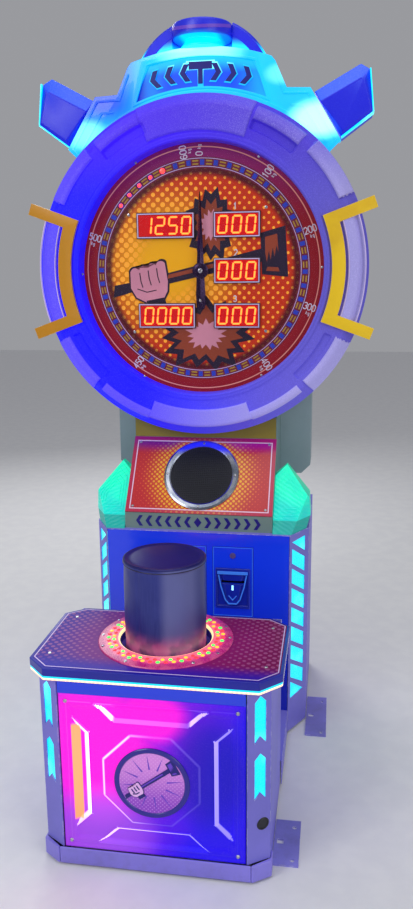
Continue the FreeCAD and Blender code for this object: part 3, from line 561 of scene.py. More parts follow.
def crown_finish():
    """Backlit translucent plastic with brighter patches where its lamps sit."""
    shade = Shade("crown_glow")
    patches = None
    for x, z, reach, power in CROWN_LAMPS:
        across, up = (shade.x - x) / reach, (shade.z - z) / (reach * 0.6)
        spot = (across * across + up * up).step(1.0, 0.0) * power
        patches = spot if patches is None else patches + spot
    left = (shade.x * -1).step(0.14, 0.27) * shade.z.step(1.84, 1.93)
    haze = shade.noise(7, 3).step(0.3, 0.75)
    base = shade.mix(left, (0.0, 0.50, 0.86), (0.0, 0.02, 0.72))
    base = shade.mix(haze * 0.3, base, (0.0, 0.30, 0.80))
    lit = shade.mix(patches.least(1.0), base, (0.28, 0.95, 0.92))
    fine = shade.noise(260, 3)
    return shade.finish(lit, fine * 0.15 + 0.25, (fine, 0.18, 0.0006),
                        (patches * 0.9 + 0.62) * (left * 0.35).inverse(), Coat_Weight=0.3)


def dome_finish():
    """Deep blue shell that catches the crown's light along its foot."""
    shade = Shade("dome_blue_satin")
    cloud, grain = shade.noise(6, 3), shade.noise(460, 3)
    base = shade.mix(cloud.step(0.3, 0.7), (0.004, 0.008, 0.50), (0.010, 0.016, 0.60))
    base = shade.mix(grain.step(0.6, 0.8) * 0.15, base, (0.05, 0.08, 0.80))
    foot = shade.radius(DIAL.x, DIAL.z).step(0.668, 0.640)
    middle = shade.x.absolute().step(0.075, 0.045) * shade.z.step(2.1005, 2.0985)
    lit = foot.most(middle)
    base = shade.mix(lit, base, (0.0, 0.55, 0.84))
    return shade.finish(base, cloud * 0.14 + grain * 0.1 + 0.22, (grain, 0.16), lit * 0.75 + 0.24)


def trim_finish():
    """Gold paint, browner on the left and yellower on the right, rubbed along its edges, with a faint painted
    glow.
    """
    shade = Shade("trim_gold_paint")
    cloud, grain = shade.noise(9, 3), shade.noise(520, 3)
    base = shade.mix(shade.x.step(-0.3, 0.3), (0.52, 0.22, 0.004), (0.76, 0.50, 0.006))
    base = shade.mix(cloud.step(0.35, 0.7) * 0.35, base, (0.42, 0.20, 0.004))
    base = shade.mix(shade.edges(0.003) * shade.noise(60, 2).step(0.42, 0.6) * 0.8, base, (0.85, 0.66, 0.30))
    # The faint glow of 0.12 is painted light.
    return shade.finish(base, cloud * 0.14 + grain * 0.12 + 0.26, (grain, 0.3), 0.12)


def speaker_ring_finish():
    """Polished ring with a painted reflection: dark patches as of a dark room, and the dial's blue painted
    along its top, where it also glows.
    """
    shade = Shade("speaker_ring_polish_painted_reflection")
    cloud, brushed = shade.noise(14, 3), shade.noise(120, 2, (1, 1, 10))
    # head marks the ring's top, where the dial's blue is painted as a reflection and glows.
    head = shade.z.step(0.868, 0.892)
    # The dark and lighter patches are a painted reflection of a dark room.
    base = shade.mix(cloud.step(0.3, 0.7), (0.16, 0.19, 0.26), (0.42, 0.44, 0.50))
    base = shade.mix(brushed.step(0.4, 0.7) * 0.2, base, (0.55, 0.57, 0.60))
    base = shade.mix(head * 0.9, base, (0.004, 0.004, 0.85))
    return shade.finish(base, cloud * 0.08 + brushed * 0.05 + 0.14, glow=head * 0.6, Metallic=1.0)


def sign_finish():
    """Blue sign, paler at its sides and along its foot."""
    shade = Shade("sign_gradient")
    height = shade.radius(DIAL.x, DIAL.z).step(0.560, 0.604)
    side = shade.x.absolute().step(0.09, 0.20)
    base = shade.mix(height.most(side * 0.7), (0.0, 0.06, 0.72), (0.0, 0.46, 0.90))
    lit = shade.mix((shade.x * -1).step(0.13, 0.19) * height.inverse(), base, (0.0, 0.01, 0.42))
    fine = shade.noise(300, 2)
    return shade.finish(lit, fine * 0.15 + 0.3, (fine, 0.1, 0.0005), 0.55)


def fairing_finish():
    """Green glowing plastic with fine moulded waves."""
    shade = Shade("fairing_glow")
    depth = shade.noise(16, 3).step(0.3, 0.7)
    base = shade.mix(shade.z.step(0.66, 0.86), (0.0, 0.50, 0.42), (0.005, 0.78, 0.36))
    base = shade.mix(depth * 0.4, base, (0.0, 0.30, 0.38))
    strip = shade.z.step(0.6965, 0.6950)
    base = shade.mix(strip * 0.65, base, (0.0, 0.26, 0.22))
    ahead = shade.facing()[1]
    waves = ((shade.z + shade.x.absolute() * 0.55) * 520 + shade.noise(22, 3) * 9).sine()
    return shade.finish(base, depth * 0.1 + 0.28, (waves, 0.25, 0.0015),
                        ((ahead * -1).step(0.0, 0.8) * 0.55 + 0.35) * (strip * 0.5).inverse())


def moulding_finish():
    """Backlit panel: pink and magenta from the upper left, violet and blue to the right."""
    shade = Shade("moulding_backlit")
    across = shade.x / MOULDING_HALF_WIDTH
    up = (shade.z - MOULDING_MIDDLE) / MOULDING_HALF_HEIGHT
    cloud = (shade.noise(4.5, 3) - 0.5) * 0.7
    warm = (across * -1 + up * 0.35 + cloud).step(-0.75, 0.75)
    hot = ((across + 0.62) * (across + 0.62) * 1.6 + (up - 0.35) * (up - 0.35) * 0.8).step(1.1, 0.0)
    base = shade.mix(warm, (0.016, 0.002, 0.80), (0.40, 0.006, 0.74))
    centre_top = (across * across * 2.4 + (up - 0.78) * (up - 0.78) * 3.2).step(0.55, 0.0)
    base = shade.mix(hot.most(centre_top), base, (0.95, 0.006, 0.58))
    violet = ((across + 0.55) * (across + 0.55) + (up + 0.75) * (up + 0.75)).step(0.5, 0.0)
    base = shade.mix(violet * 0.75, base, (0.36, 0.09, 0.80))
    dark = ((across - 0.62) * (across - 0.62) * 2.2 + (up - 0.12) * (up - 0.12) * 0.8).step(0.65, 0.0)
    base = shade.mix(dark * 0.8, base, (0.008, 0.004, 0.42))
    normal_x, ahead, normal_z = shade.facing()
    outwards = (normal_x * across + normal_z * up).step(-0.10, 0.12)
    outwards = outwards * across.absolute().most(up.absolute()).step(0.93, 0.90)
    top_middle = across.absolute().step(0.43, 0.39) * up.step(0.50, 0.55)
    wall = (ahead * -1).step(0.975, 0.84) * outwards * (top_middle * 0.85).inverse()
    octagon_side = across.step(0.05, -0.30)
    reach = (across * MOULDING_HALF_WIDTH).absolute().most((up * MOULDING_HALF_HEIGHT).absolute())
    middle_zone = reach.step(0.1400, 0.1370)
    wall = wall * (middle_zone * octagon_side.inverse() * 0.8).inverse()
    lit_wall = shade.mix(warm, (0.34, 0.28, 1.0), (1.0, 0.66, 0.98))
    left_band = across.band(-0.735, -0.655, 0.010) * up.band(-0.62, 0.62, 0.05)
    base = shade.mix((wall * 0.9).most(left_band * wall), base, lit_wall)
    speck = shade.noise(380, 2).step(0.5, 0.7)
    base = shade.mix(speck * 0.06, base, (0.45, 0.22, 0.90))
    amber_zone = across.band(-0.868, -0.780, 0.008) * up.band(-0.60, 0.58, 0.05)
    base = shade.mix(amber_zone, base, (1.0, 0.24, 0.10))
    glow = hot.most(centre_top) * 0.36 + wall * (warm * 0.65 + 0.55) + amber_zone * 0.7 + 0.30
    fine = shade.noise(420, 2)
    return shade.finish(base, fine * 0.15 + 0.34, (fine, 0.22, 0.0006), glow, Specular_IOR_Level=0.28)


def table_pattern(shade):
    """Printed laminate: red to the right, violet to the left, with halftone dots that grow to the sides."""
    radius = shade.plan_radius(PAD.x, PAD.y)
    side = shade.x.absolute().step(0.10, 0.27)
    base = shade.mix(shade.x.step(-0.24, 0.16), (0.040, 0.004, 0.36), (0.20, 0.006, 0.090))
    base = shade.mix(radius.step(0.30, 0.18) * 0.5, base, (0.34, 0.015, 0.20))
    base = shade.mix(shade.y.step(-0.500, -0.560) * 0.85, base, (0.016, 0.010, 0.46))
    dots = shade.dots(shade.x, shade.y, 0.0165, side * 0.16 + 0.16)
    reach = radius.step(0.165, 0.20) * shade.y.step(-0.56, -0.49)
    return shade.mix(dots * reach * 0.55, base, (0.50, 0.15, 0.36))


def up_the_panel(shade):
    """Distance up the tilted speaker panel from its foot."""
    return (shade.y - PANEL_LOW.y) * math.sin(LEAN) + (shade.z - PANEL_LOW.z) * math.cos(LEAN)


def speaker_pattern(shade):
    """Printed red panel with yellow halftone dots round the loudspeaker and a pale border, and a painted
    shadow along its top.
    """
    across, up = shade.x, up_the_panel(shade) - SPEAKER_ALONG
    radius = (across * across + up * up).power(0.5)
    base = shade.mix(radius.step(0.11, 0.20), (0.72, 0.070, 0.006), (0.56, 0.006, 0.014))
    dots = shade.dots(across, up, 0.0118, radius.step(0.235, 0.115) * 0.26 + 0.10)
    ink = shade.mix(radius.step(0.125, 0.205), (0.95, 0.50, 0.012), (0.74, 0.050, 0.018))
    base = shade.mix(dots * radius.step(0.245, 0.20), base, ink)
    # Painted shadow of the bezel above, along the panel's top: blue on the left, magenta on the right.
    head = up.step(0.070, 0.118)
    bezel_shadow_colour = shade.mix(across.step(-0.04, 0.10), (0.030, 0.0, 0.34), (0.42, 0.0, 0.50))
    base = shade.mix(head * radius.step(0.115, 0.15) * 0.7, base, bezel_shadow_colour)
    border = (across.absolute() - 0.2165).most(up.absolute() - 0.1175)
    line = border.absolute().step(0.0022, 0.0012)
    outside = border.step(0.001, 0.003)
    base = shade.mix(outside * 0.6, base, (0.50, 0.01, 0.10))
    return shade.mix(line, base, (0.86, 0.62, 0.82))


def dial_finish():
    """The dial's printed ground: yellow and red halftone, a dark track and a red rim."""
    shade = Shade("dial_print_art")
    radius = shade.radius(DIAL.x, DIAL.z)
    spread = shade.radius(DIAL.x - 0.10, DIAL.z + 0.02)
    base = shade.mix(spread.step(0.05, 0.26), (0.78, 0.36, 0.004), (0.50, 0.028, 0.006))
    size = spread.step(0.30, 0.10) * 0.22 + 0.20
    dots = shade.dots(shade.x, shade.z, 0.0205, size)
    base = shade.mix(dots * spread.step(0.07, 0.13), base, (1.0, 0.40, 0.035))
    base = shade.mix(radius.step(0.268, 0.288) * 0.92, base, (0.045, 0.002, 0.010))
    track = radius.band(0.297, 0.327, 0.002)
    base = shade.mix(track, base, (0.15, 0.012, 0.045))
    top = (shade.z - DIAL.z).step(0.12, 0.37)
    outer_colour = shade.mix(top * 0.8, (0.27, 0.006, 0.014), (0.20, 0.010, 0.15))
    base = shade.mix(radius.step(0.325, 0.330), base, outer_colour)
    line = (radius - 0.3555).absolute().step(0.0022, 0.0010)
    base = shade.mix(line * 0.8, base, (0.85, 0.34, 0.26))
    fine = shade.noise(200, 3)
    return shade.finish(base, fine * 0.12 + 0.30, (fine, 0.05, 0.0004), 0.22)


def ring_finish():
    """Pink translucent ring lit from below, with a pale inner rim."""
    shade = Shade("ring_plate_glow")
    radius = shade.plan_radius(PAD.x, PAD.y)
    ribs = (shade.noise(48, 3)).step(0.35, 0.7)
    base = shade.mix(radius.step(0.128, 0.160), (0.95, 0.09, 0.16), (0.50, 0.012, 0.20))
    base = shade.mix(ribs * 0.35, base, (1.0, 0.20, 0.36))
    inner = radius.step(0.1215, 0.1190)
    base = shade.mix(inner, base, (0.86, 0.74, 0.34))
    fine = shade.noise(260, 2)
    return shade.finish(base, fine * 0.15 + 0.2, (fine, 0.1, 0.0005),
                        radius.step(0.165, 0.125) * 0.75 + inner * 0.3 + 0.15)


def pad_finish():
    """Deep blue satin wrap, faintly brushed, with a dark top and light from the lamps at its foot."""
    shade = Shade("pad_wrap_vinyl")
    streak = shade.noise(60, 4, (5, 5, 0.3))
    large = shade.noise(8, 3)
    base = shade.mix(large.step(0.3, 0.7), (0.020, 0.030, 0.215), (0.038, 0.050, 0.290))
    base = shade.mix(streak.step(0.35, 0.7) * 0.25, base, (0.065, 0.085, 0.34))
    lit_side = (shade.x - PAD.x).band(0.030, 0.075, 0.030) * 0.55
    base = shade.mix(lit_side, base, (0.23, 0.25, 0.52))
    worn = shade.noise(34, 4).step(0.62, 0.74) * shade.z.step(0.585, 0.53) * 0.4
    base = shade.mix(worn, base, (0.22, 0.16, 0.20))
    foot = shade.z.step(0.590, 0.528)
    patches = shade.noise(22, 2).step(0.42, 0.60)
    base = shade.mix(foot * 0.55, base, (0.42, 0.10, 0.22))
    top = shade.z.step(PAD_HIGH.z - 0.0060, PAD_HIGH.z - 0.0035)
    base = shade.mix(top, base, (0.008, 0.008, 0.13))
    shade.glow((0.85, 0.12, 0.30), foot * patches * top.inverse() * 0.26)
    return shade.finish(base, streak * 0.16 + large * 0.08 + 0.26,
                        (shade.noise(900, 2) * 0.5 + streak * 0.5, 0.08, 0.0006), Metallic=0.35)


def lens_finish():
    """Cyan lenses with brighter patches."""
    shade = Shade("lens_cyan")
    hot = shade.noise(9, 2).step(0.45, 0.75)
    base = shade.mix(hot, (0.0, 0.62, 0.80), (0.10, 0.92, 0.95))
    fine = shade.noise(200, 2)
    return shade.finish(base, fine * 0.15 + 0.2, (fine, 0.06, 0.0004), hot * 0.55 + 0.95)


def strip_finish():
    """The light under the table's edge: cyan along its top, warm white along its foot."""
    shade = Shade("edge_light_beads")
    beads = ((shade.x + shade.y * 0.83) * (TAU / 0.0105)).sine() * 0.5 + 0.5
    warm = shade.z.step(STRIP_MIDDLE + 0.0008, STRIP_MIDDLE - 0.0008)
    base = shade.mix(warm, (0.0, 0.62, 0.84), (1.0, 0.66, 0.46))
    return shade.finish(base, beads * 0.1 + 0.2, glow=warm * beads * 0.4 + 0.75)


def lamp(name, colour, strength):
    """A lit lens of one colour."""
    shade = Shade(name)
    fine = shade.noise(150, 2)
    shade.glow(colour, strength)
    return shade.finish(shade.mix(fine * 0.4, colour, tuple(c * 0.6 for c in colour)), fine * 0.1 + 0.15)


def emblem_pattern(shade):
    """Lilac badge that deepens downwards, with a navy rim and halftone dots."""
    x, z = centre("front_emblem").xz
    radius = shade.radius(x, z)
    base = shade.mix((shade.z - z).step(-0.07, 0.06), (0.26, 0.045, 0.55), (0.66, 0.24, 0.74))
    dots = shade.dots(shade.x, shade.z, 0.0072, 0.22)
    base = shade.mix(dots * 0.35, base, (0.85, 0.50, 0.90))
    return shade.mix(radius.step(0.0785, 0.0805), base, (0.012, 0.008, 0.24))


def grille_pattern(shade):
    """Fine perforated mesh on a tilted disc."""
    holes = shade.dots(shade.x, up_the_panel(shade), 0.0042, 0.33)
    return shade.mix(holes, (0.012, 0.013, 0.020), (0.001, 0.001, 0.0015))


def horn_finish():
    """Blue that catches the light where it faces up."""
    shade = Shade("horn_blue")
    rise = shade.facing()[2].step(0.15, 0.6)
    base = shade.mix(rise, (0.003, 0.006, 0.58), (0.012, 0.085, 0.82))
    speckle = shade.noise(430, 2).step(0.5, 0.66)
    base = shade.mix(speckle * rise * 0.22 + speckle * 0.05, base, (0.12, 0.24, 0.92))
    return shade.finish(base, shade.noise(14, 3) * 0.2 + 0.28, (shade.noise(520, 2), 0.25, 0.0006), 0.30)


def glass_finish():
    """Clear cover with a faint smear."""
    shade = Shade("clear_acrylic")
    smear = shade.noise(7, 3)
    base = shade.mix(smear, (0.05, 0.03, 0.06), (0.09, 0.06, 0.10))
    return shade.finish(base, 0.05, (smear, 0.02, 0.0005), Alpha=0.025, IOR=1.49)


# Every finish, by the record's slot or by its own name.
M = {
    "frame_steel": surface("frame_black_powder", (0.055, 0.055, 0.065), 0.52, grain=500,
                           wear=(0.4, 0.4, 0.42)),
    "foot_rubber": surface("foot_rubber_black", (0.02, 0.02, 0.02), 0.8, grain=220),
    "cabinet_grey": surface("cabinet_powder_coat", (0.225, 0.205, 0.74), 0.46, grain=650, bump=0.2,
                            wear=WHITE_WEAR, glow=0.05),
    "bracket_steel": surface("bracket_coat", (0.27, 0.25, 0.76), 0.5, grain=480, bump=0.2, wear=WHITE_WEAR,
                             cloud=0.3, glow=0.06),
    "front_blue": surface("front_blue_gloss", (0.006, 0.05, 0.50), 0.22, grain=700, bump=0.05, coat=0.5,
                          pattern=glossy_blue, glow=0.12),
    "skirt_beige": surface("skirt_moulding", (0.27, 0.23, 0.82), 0.42, grain=420, bump=0.2,
                           wear=(0.7, 0.66, 0.6), glow=0.06),
    "table_print": surface("table_edge_blue", (0.004, 0.008, 0.42), 0.35, grain=420, bump=0.08, coat=0.2),
    "bright_steel": surface("machined_steel", (0.55, 0.56, 0.58), 0.30, metal=1.0, grain=160,
                            stretch=(1, 1, 14)),
    "bush_bronze": surface("bush_bronze", (0.55, 0.36, 0.15), 0.42, metal=1.0, grain=420),
    "black_plastic": surface("black_moulded", (0.016, 0.017, 0.022), 0.48, grain=520, bump=0.2),
    "supply_case": surface("supply_case_metal", (0.55, 0.56, 0.57), 0.38, metal=1.0, grain=300),
    "board_green": surface("board_solder_mask", (0.015, 0.13, 0.045), 0.35, grain=120, coat=0.3),
    "panel_red": surface("speaker_panel_print", (0.60, 0.012, 0.018), 0.30, grain=500, bump=0.04, coat=0.3,
                         pattern=speaker_pattern),
    "name_grey": surface("name_strip_paint", (0.20, 0.30, 0.27), 0.4, grain=420, bump=0.08),
    "ring_chrome": surface("ring_chrome_polish", (0.56, 0.55, 0.62), 0.24, metal=1.0, grain=260, bump=0.03),
    "grille_black": surface("speaker_mesh", (0.012, 0.013, 0.020), 0.62, grain=600, pattern=grille_pattern),
    "housing_grey": surface("housing_moulding", (0.30, 0.40, 0.44), 0.44, grain=480, bump=0.2),
    "trim_gold": trim_finish(),
    "display_black": surface("display_case", (0.02, 0.004, 0.008), 0.3, grain=400),
    "needle_dark": surface("needle_anodised", (0.030, 0.012, 0.055), 0.28, metal=0.7, grain=500, bump=0.05),
    "dome_blue": dome_finish(),
    "neck_gold": surface("neck_gold_paint", (0.30, 0.24, 0.03), 0.42, grain=480, bump=0.12),
    "neck_grey": surface("neck_grey_green", (0.20, 0.32, 0.32), 0.45, grain=520, bump=0.15),
    "bezel_lilac": bezel_finish("bezel_moulding_blue", (0.115, 0.095, 0.56), (0.005, 0.003, 0.74), 1.0),
    "bezel_pad": bezel_finish("bezel_pad_lilac", (0.37, 0.34, 0.74), (0.075, 0.050, 0.74), 0.7),
    "crown_cyan": crown_finish(),
    "sign": sign_finish(),
    "fairing_green": fairing_finish(),
    "backlit_plastic": moulding_finish(),
    "table_sheet": surface("table_laminate", (0.14, 0.010, 0.24), 0.46, grain=500, bump=0.05, coat=0.05,
                           pattern=table_pattern),
    "dial_print": dial_finish(),
    "ring_print": ring_finish(),
    "pad_rubber": pad_finish(),
    "cyan_lens": lens_finish(),
    "light_strip": strip_finish(),
    "horn": horn_finish(),
    "clear_cover": glass_finish(),
    "lamp_red": lamp("lamp_red_lens", (1.0, 0.035, 0.04), 1.5),
    "lamp_green": lamp("lamp_green_lens", (0.06, 0.95, 0.10), 1.3),
    "lamp_amber": lamp("lamp_amber_lens", (1.0, 0.42, 0.03), 1.4),
    "lamp_bright": lamp("lamp_bright_red", (1.0, 0.035, 0.03), 3.2),
    "digit_lit": lamp("digit_segments_lit", (1.0, 0.20, 0.03), 2.4),
    "digit_window": lamp("display_window_red", (0.55, 0.002, 0.004), 0.40),
    "line_pale": surface("printed_line_pale", (0.62, 0.50, 0.82), 0.4, grain=400, glow=0.15),
    "line_white": surface("printed_white", (0.62, 0.56, 0.66), 0.4, grain=400, glow=0.25),
    "track_blue": surface("track_blue_lens", (0.02, 0.04, 0.45), 0.3, grain=400, glow=0.25),
    "track_gold": surface("track_gold_dash", (0.42, 0.24, 0.02), 0.4, grain=400, glow=0.15),
    "print_dark": surface("printed_dark", (0.014, 0.003, 0.030), 0.35, grain=400),
    "print_skin": surface("printed_light_pink", (0.62, 0.24, 0.34), 0.38, grain=400, glow=0.2),
    "print_rust": surface("printed_rust", (0.30, 0.045, 0.015), 0.38, grain=400, glow=0.1),
    "navy": surface("badge_navy", (0.010, 0.008, 0.20), 0.34, grain=400, glow=0.1),
    "badge_lilac": surface("badge_lilac", (0.62, 0.24, 0.74), 0.36, grain=400, glow=0.3),
    "badge_violet": surface("badge_violet", (0.13, 0.045, 0.55), 0.36, grain=400, glow=0.25),
    "slot_light": lamp("slot_light", (0.30, 0.75, 1.0), 1.6),
    "grille_wire": surface("grille_wire_black", (0.028, 0.030, 0.045), 0.38, metal=0.6, grain=500),
    "bead_light": lamp("edge_bead_light", (1.0, 0.80, 0.62), 1.05),
    "pad_piping": surface("pad_piping_vinyl", (0.020, 0.021, 0.050), 0.4, grain=700, bump=0.2),
    "bill_blue": surface("bill_bezel_blue", (0.006, 0.022, 0.40), 0.22, grain=500, bump=0.06, coat=0.5),
    # Painted highlight for the note plate's rim and the doors' edges.
    "bill_edge": surface("bill_edge_highlight", (0.05, 0.22, 0.85), 0.25, grain=400, glow=0.25),
    "emblem": surface("emblem_disc_print", (0.50, 0.18, 0.66), 0.34, grain=400, coat=0.3, glow=0.2,
                      pattern=emblem_pattern),
    "badge_pale": surface("badge_pale_lilac", (0.78, 0.46, 0.86), 0.36, grain=400, glow=0.3),
}
M["lamp_lens"] = M["lamp_amber"]
M["emblem_print"] = M["badge_lilac"]

for key, level in (("table_sheet", 0.08), ("dial_print", 0.3), ("cabinet_grey", 0.35)):
    M[key].node_tree.nodes["Principled BSDF"].inputs["Specular IOR Level"].default_value = level

slot_of = {entry["node"]: entry["material_slot"] for entry in frame["record"]["subparts"]}
for name, item in nodes.items():
    item.data.materials.clear()
    item.data.materials.append(M[slot_of[name]])
nodes["neck_cover"].data.materials[0] = M["neck_grey"]
nodes["speaker_ring"].data.materials[0] = speaker_ring_finish()


# ---------------------------------------------------------------- digits

# The lit bars of each digit, and the strokes of each printed one as (across, up) points.
SEGMENTS = {"0": "abcdef", "1": "bc", "2": "abged", "5": "afgcd"}
STROKES = {
    "0": [[(0.2, 0), (0, 0.2), (0, 0.8), (0.2, 1), (0.48, 1), (0.68, 0.8), (0.68, 0.2), (0.48, 0), (0.2, 0)]],
    "1": [[(0.12, 0.78), (0.38, 1), (0.38, 0)]],
    "2": [[(0, 0.8), (0.2, 1), (0.5, 1), (0.68, 0.8), (0.68, 0.6), (0, 0), (0.7, 0)]],
    "3": [[(0, 0.86), (0.2, 1), (0.48, 1), (0.66, 0.84), (0.64, 0.62), (0.4, 0.53), (0.68, 0.38),
           (0.68, 0.18), (0.48, 0), (0.2, 0), (0, 0.14)]],
    "4": [[(0.52, 0), (0.52, 1), (0, 0.3), (0.72, 0.3)]],
    "5": [[(0.66, 1), (0.06, 1), (0.03, 0.56), (0.42, 0.6), (0.68, 0.42), (0.66, 0.16), (0.44, 0), (0.16, 0),
           (0, 0.12)]],
    "6": [[(0.62, 0.9), (0.42, 1), (0.2, 1), (0, 0.76), (0, 0.2), (0.2, 0), (0.48, 0), (0.68, 0.18),
           (0.68, 0.4), (0.48, 0.56), (0.04, 0.5)]],
    "k": [[(0, 0), (0, 1)], [(0.5, 0.68), (0.04, 0.3), (0.5, 0)]],
    "g": [[(0.5, 0.16), (0.3, 0), (0, 0.14), (0, 0.5), (0.24, 0.66), (0.5, 0.56), (0.5, -0.24), (0.3, -0.36),
           (0.04, -0.28)]],
}


def write(shape, text, at, height, turn, weight, front, back):
    """Strokes of short text on an upright plane, centred on a point and turned by degrees."""
    narrow = 0.74
    advance = [0.92 * narrow if letter not in "kg" else 0.72 for letter in text]
    total = sum(advance) - 0.20
    angle = math.radians(turn)
    along = Vector((math.cos(angle), math.sin(angle)))
    up = Vector((-along.y, along.x))
    start = -total / 2
    for letter, step in zip(text, advance):
        for line in STROKES[letter]:
            points = []
            for a, u in line:
                spot = along * ((start + a * narrow) * height) + up * ((u - 0.5) * height)
                points.append((at[0] + spot.x, at[1] + spot.y))
            closed = points[0] == points[-1]
            if closed:
                points = points[:-1]
            shape.stroke(points, weight, front, back, closed=closed)
        start += step


def seven_segment(lit, unlit, letter, x, z, width, height, slant, front, back):
    """One digit of tapered bars; bars that aren't lit go to the other shape."""
    thick = height * 0.105
    half_w, half_h = width / 2, height / 2
    bars = {
        "a": ((-half_w, half_h), (half_w, half_h)), "g": ((-half_w, 0), (half_w, 0)),
        "d": ((-half_w, -half_h), (half_w, -half_h)),
        "f": ((-half_w, 0), (-half_w, half_h)), "b": ((half_w, 0), (half_w, half_h)),
        "e": ((-half_w, -half_h), (-half_w, 0)), "c": ((half_w, -half_h), (half_w, 0)),
    }
    for key, (first, last) in bars.items():
        a, b = Vector(first), Vector(last)
        run = (b - a).normalized()
        side = Vector((-run.y, run.x)) * thick / 2
        gap = run * thick * 0.16
        taper = run * thick * 0.62
        outline = [a + gap, a + taper + side, b - taper + side, b - gap, b - taper - side, a + taper - side]
        outline = [(x + p.x + p.y * slant, z + p.y) for p in outline]
        (lit if key in SEGMENTS[letter] else unlit).prism(outline, front, back)


# ---------------------------------------------------------------- head


def make_bezel():
    """The moulded ring round the dial, with its raised pads and recessed pockets."""
    front, back = BEZEL_LOW.y, BEZEL_HIGH.y
    hole, rim = 0.368, 0.497
    # Each pad or pocket: its angles, its inner and outer radius, and its depth (raised when negative).
    pads = [(-19.0, 19.0, 0.4380, 0.4890, -0.0100)]
    for sign in (1, -1):
        low, high = sorted((sign * 25.5, sign * 46))
        pads.append((low, high, 0.4500, 0.4960, -0.0090))
    pads += [(70, 112, 0.3930, 0.5100, -0.0050), (50, 69, 0.4180, 0.4440, 0.0110),
             (50, 69, 0.4480, 0.4850, -0.0045)]
    pads += [(-70, -49, 0.4480, 0.4740, -0.0075), (-110, -70, 0.4160, 0.4700, -0.0080),
             (-47, -26, 0.4160, 0.4380, 0.0085)]
    middle = ((70, 112), (-110, -70))
    pads += [(180 - b, 180 - a, low, high, rise) for a, b, low, high, rise in pads if (a, b) not in middle]
    rows = 54
    radii = [hole + (rim - hole) * j / rows for j in range(rows + 1)]
    count = 1080

    def depth(radius, degrees):
        """How far back the ring's face lies, with a slope at the pads' edges."""
        value = front + 0.005 * smooth_step(radius, 0.3835, 0.3895)
        value += 0.036 * smooth_step(radius, 0.4600, 0.5080)
        for low, high, inner, outer, rise in pads:
            turn = (degrees - (low + high) / 2 + 180) % 360 - 180
            spread = math.radians((high - low) / 2 - abs(turn)) * radius
            cover = smooth_step(spread, -0.002, 0.003)
            cover *= smooth_step(radius, inner - 0.002, inner + 0.003)
            cover *= smooth_step(radius, outer + 0.003, outer - 0.002)
            value += rise * cover
        return max(front - 0.004, value)

    verts = []
    for i in range(count):
        degrees = 360 * i / count
        ring = [(hole, FACE_Y - 0.0005)] + [(r, depth(r, degrees)) for r in radii]
        ring += [(rim, ring[-1][1] + 0.006), (rim, back), (rim - 0.006, back), (rim - 0.006, back - 0.01),
                 (hole + 0.007, FACE_Y - 0.02), (hole + 0.007, FACE_Y - 0.0005)]
        for radius, along in ring:
            x, z = polar(radius, degrees, AXIS)
            verts.append((x, along, z))
    faces = skin(count, len(verts) // count, closed=True)
    bezel = piece("bezel_moulding", verts, faces, "bezel_lilac", "bezel_lilac")
    bezel.data.materials.append(M["bezel_pad"])
    raised = [p for p in pads if p[4] < 0]
    for face in bezel.data.polygons:
        spot = face.center
        radius = math.hypot(spot.x - DIAL.x, spot.z - DIAL.z)
        degrees = math.degrees(math.atan2(spot.z - DIAL.z, spot.x - DIAL.x))
        for low, high, inner, outer, rise in raised:
            turn = (degrees - (low + high) / 2 + 180) % 360 - 180
            within = abs(turn) < (high - low) / 2 and inner < radius < min(outer, rim + 0.01)
            if within and spot.y < back - 0.01:
                face.material_index = 1
    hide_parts("bezel_ring")


def make_rims():
    """The pale edges of the bezel's pads and the thin light ring inside it."""
    front = BEZEL_LOW.y
    shape = Shape()
    for side in (0, 180):
        for radius in (0.4405, 0.4865):
            points = arc(radius, side - 18.5, side + 18.5, 26, AXIS)
            shape.stroke(points, 0.0022, front - 0.0052, front + 0.004)
    shape.build("bezel_pad_rims", "line_pale", "bezel_lilac")
    profile = [(0.3690, front - 0.0008), (0.3725, front - 0.0026), (0.3765, front - 0.0008),
               (0.3765, front + 0.002), (0.3690, front + 0.002)]
    verts, faces = ring_lathe(profile, 240, "Y", (DIAL.x, 0, DIAL.z))
    piece("bezel_inner_rim", verts, faces, "bezel_lilac", "bezel_lilac")
    spots = [polar(0.3625, degrees + 1, AXIS) for degrees in (0, 60, 120, 180, 240, 300)]
    screws("cover_screws", [(x, WINDOW_Y, z) for x, z in spots], (0, -1, 0), (0.0036, 0.0022), "bright_steel",
           "bright_steel")


def make_head():
    """The housing with its gold tabs and dome, and the bezel on its front."""
    for node, slot, width in (("bezel_trims", "trim_gold", 0.0042), ("head_housing", "housing_grey", 0.006),
                              ("dome", "dome_blue", 0.005), ("dome_cap", "dome_blue", 0.006)):
        rounded_copy(node, slot, slot, width)
    make_bezel()
    make_rims()


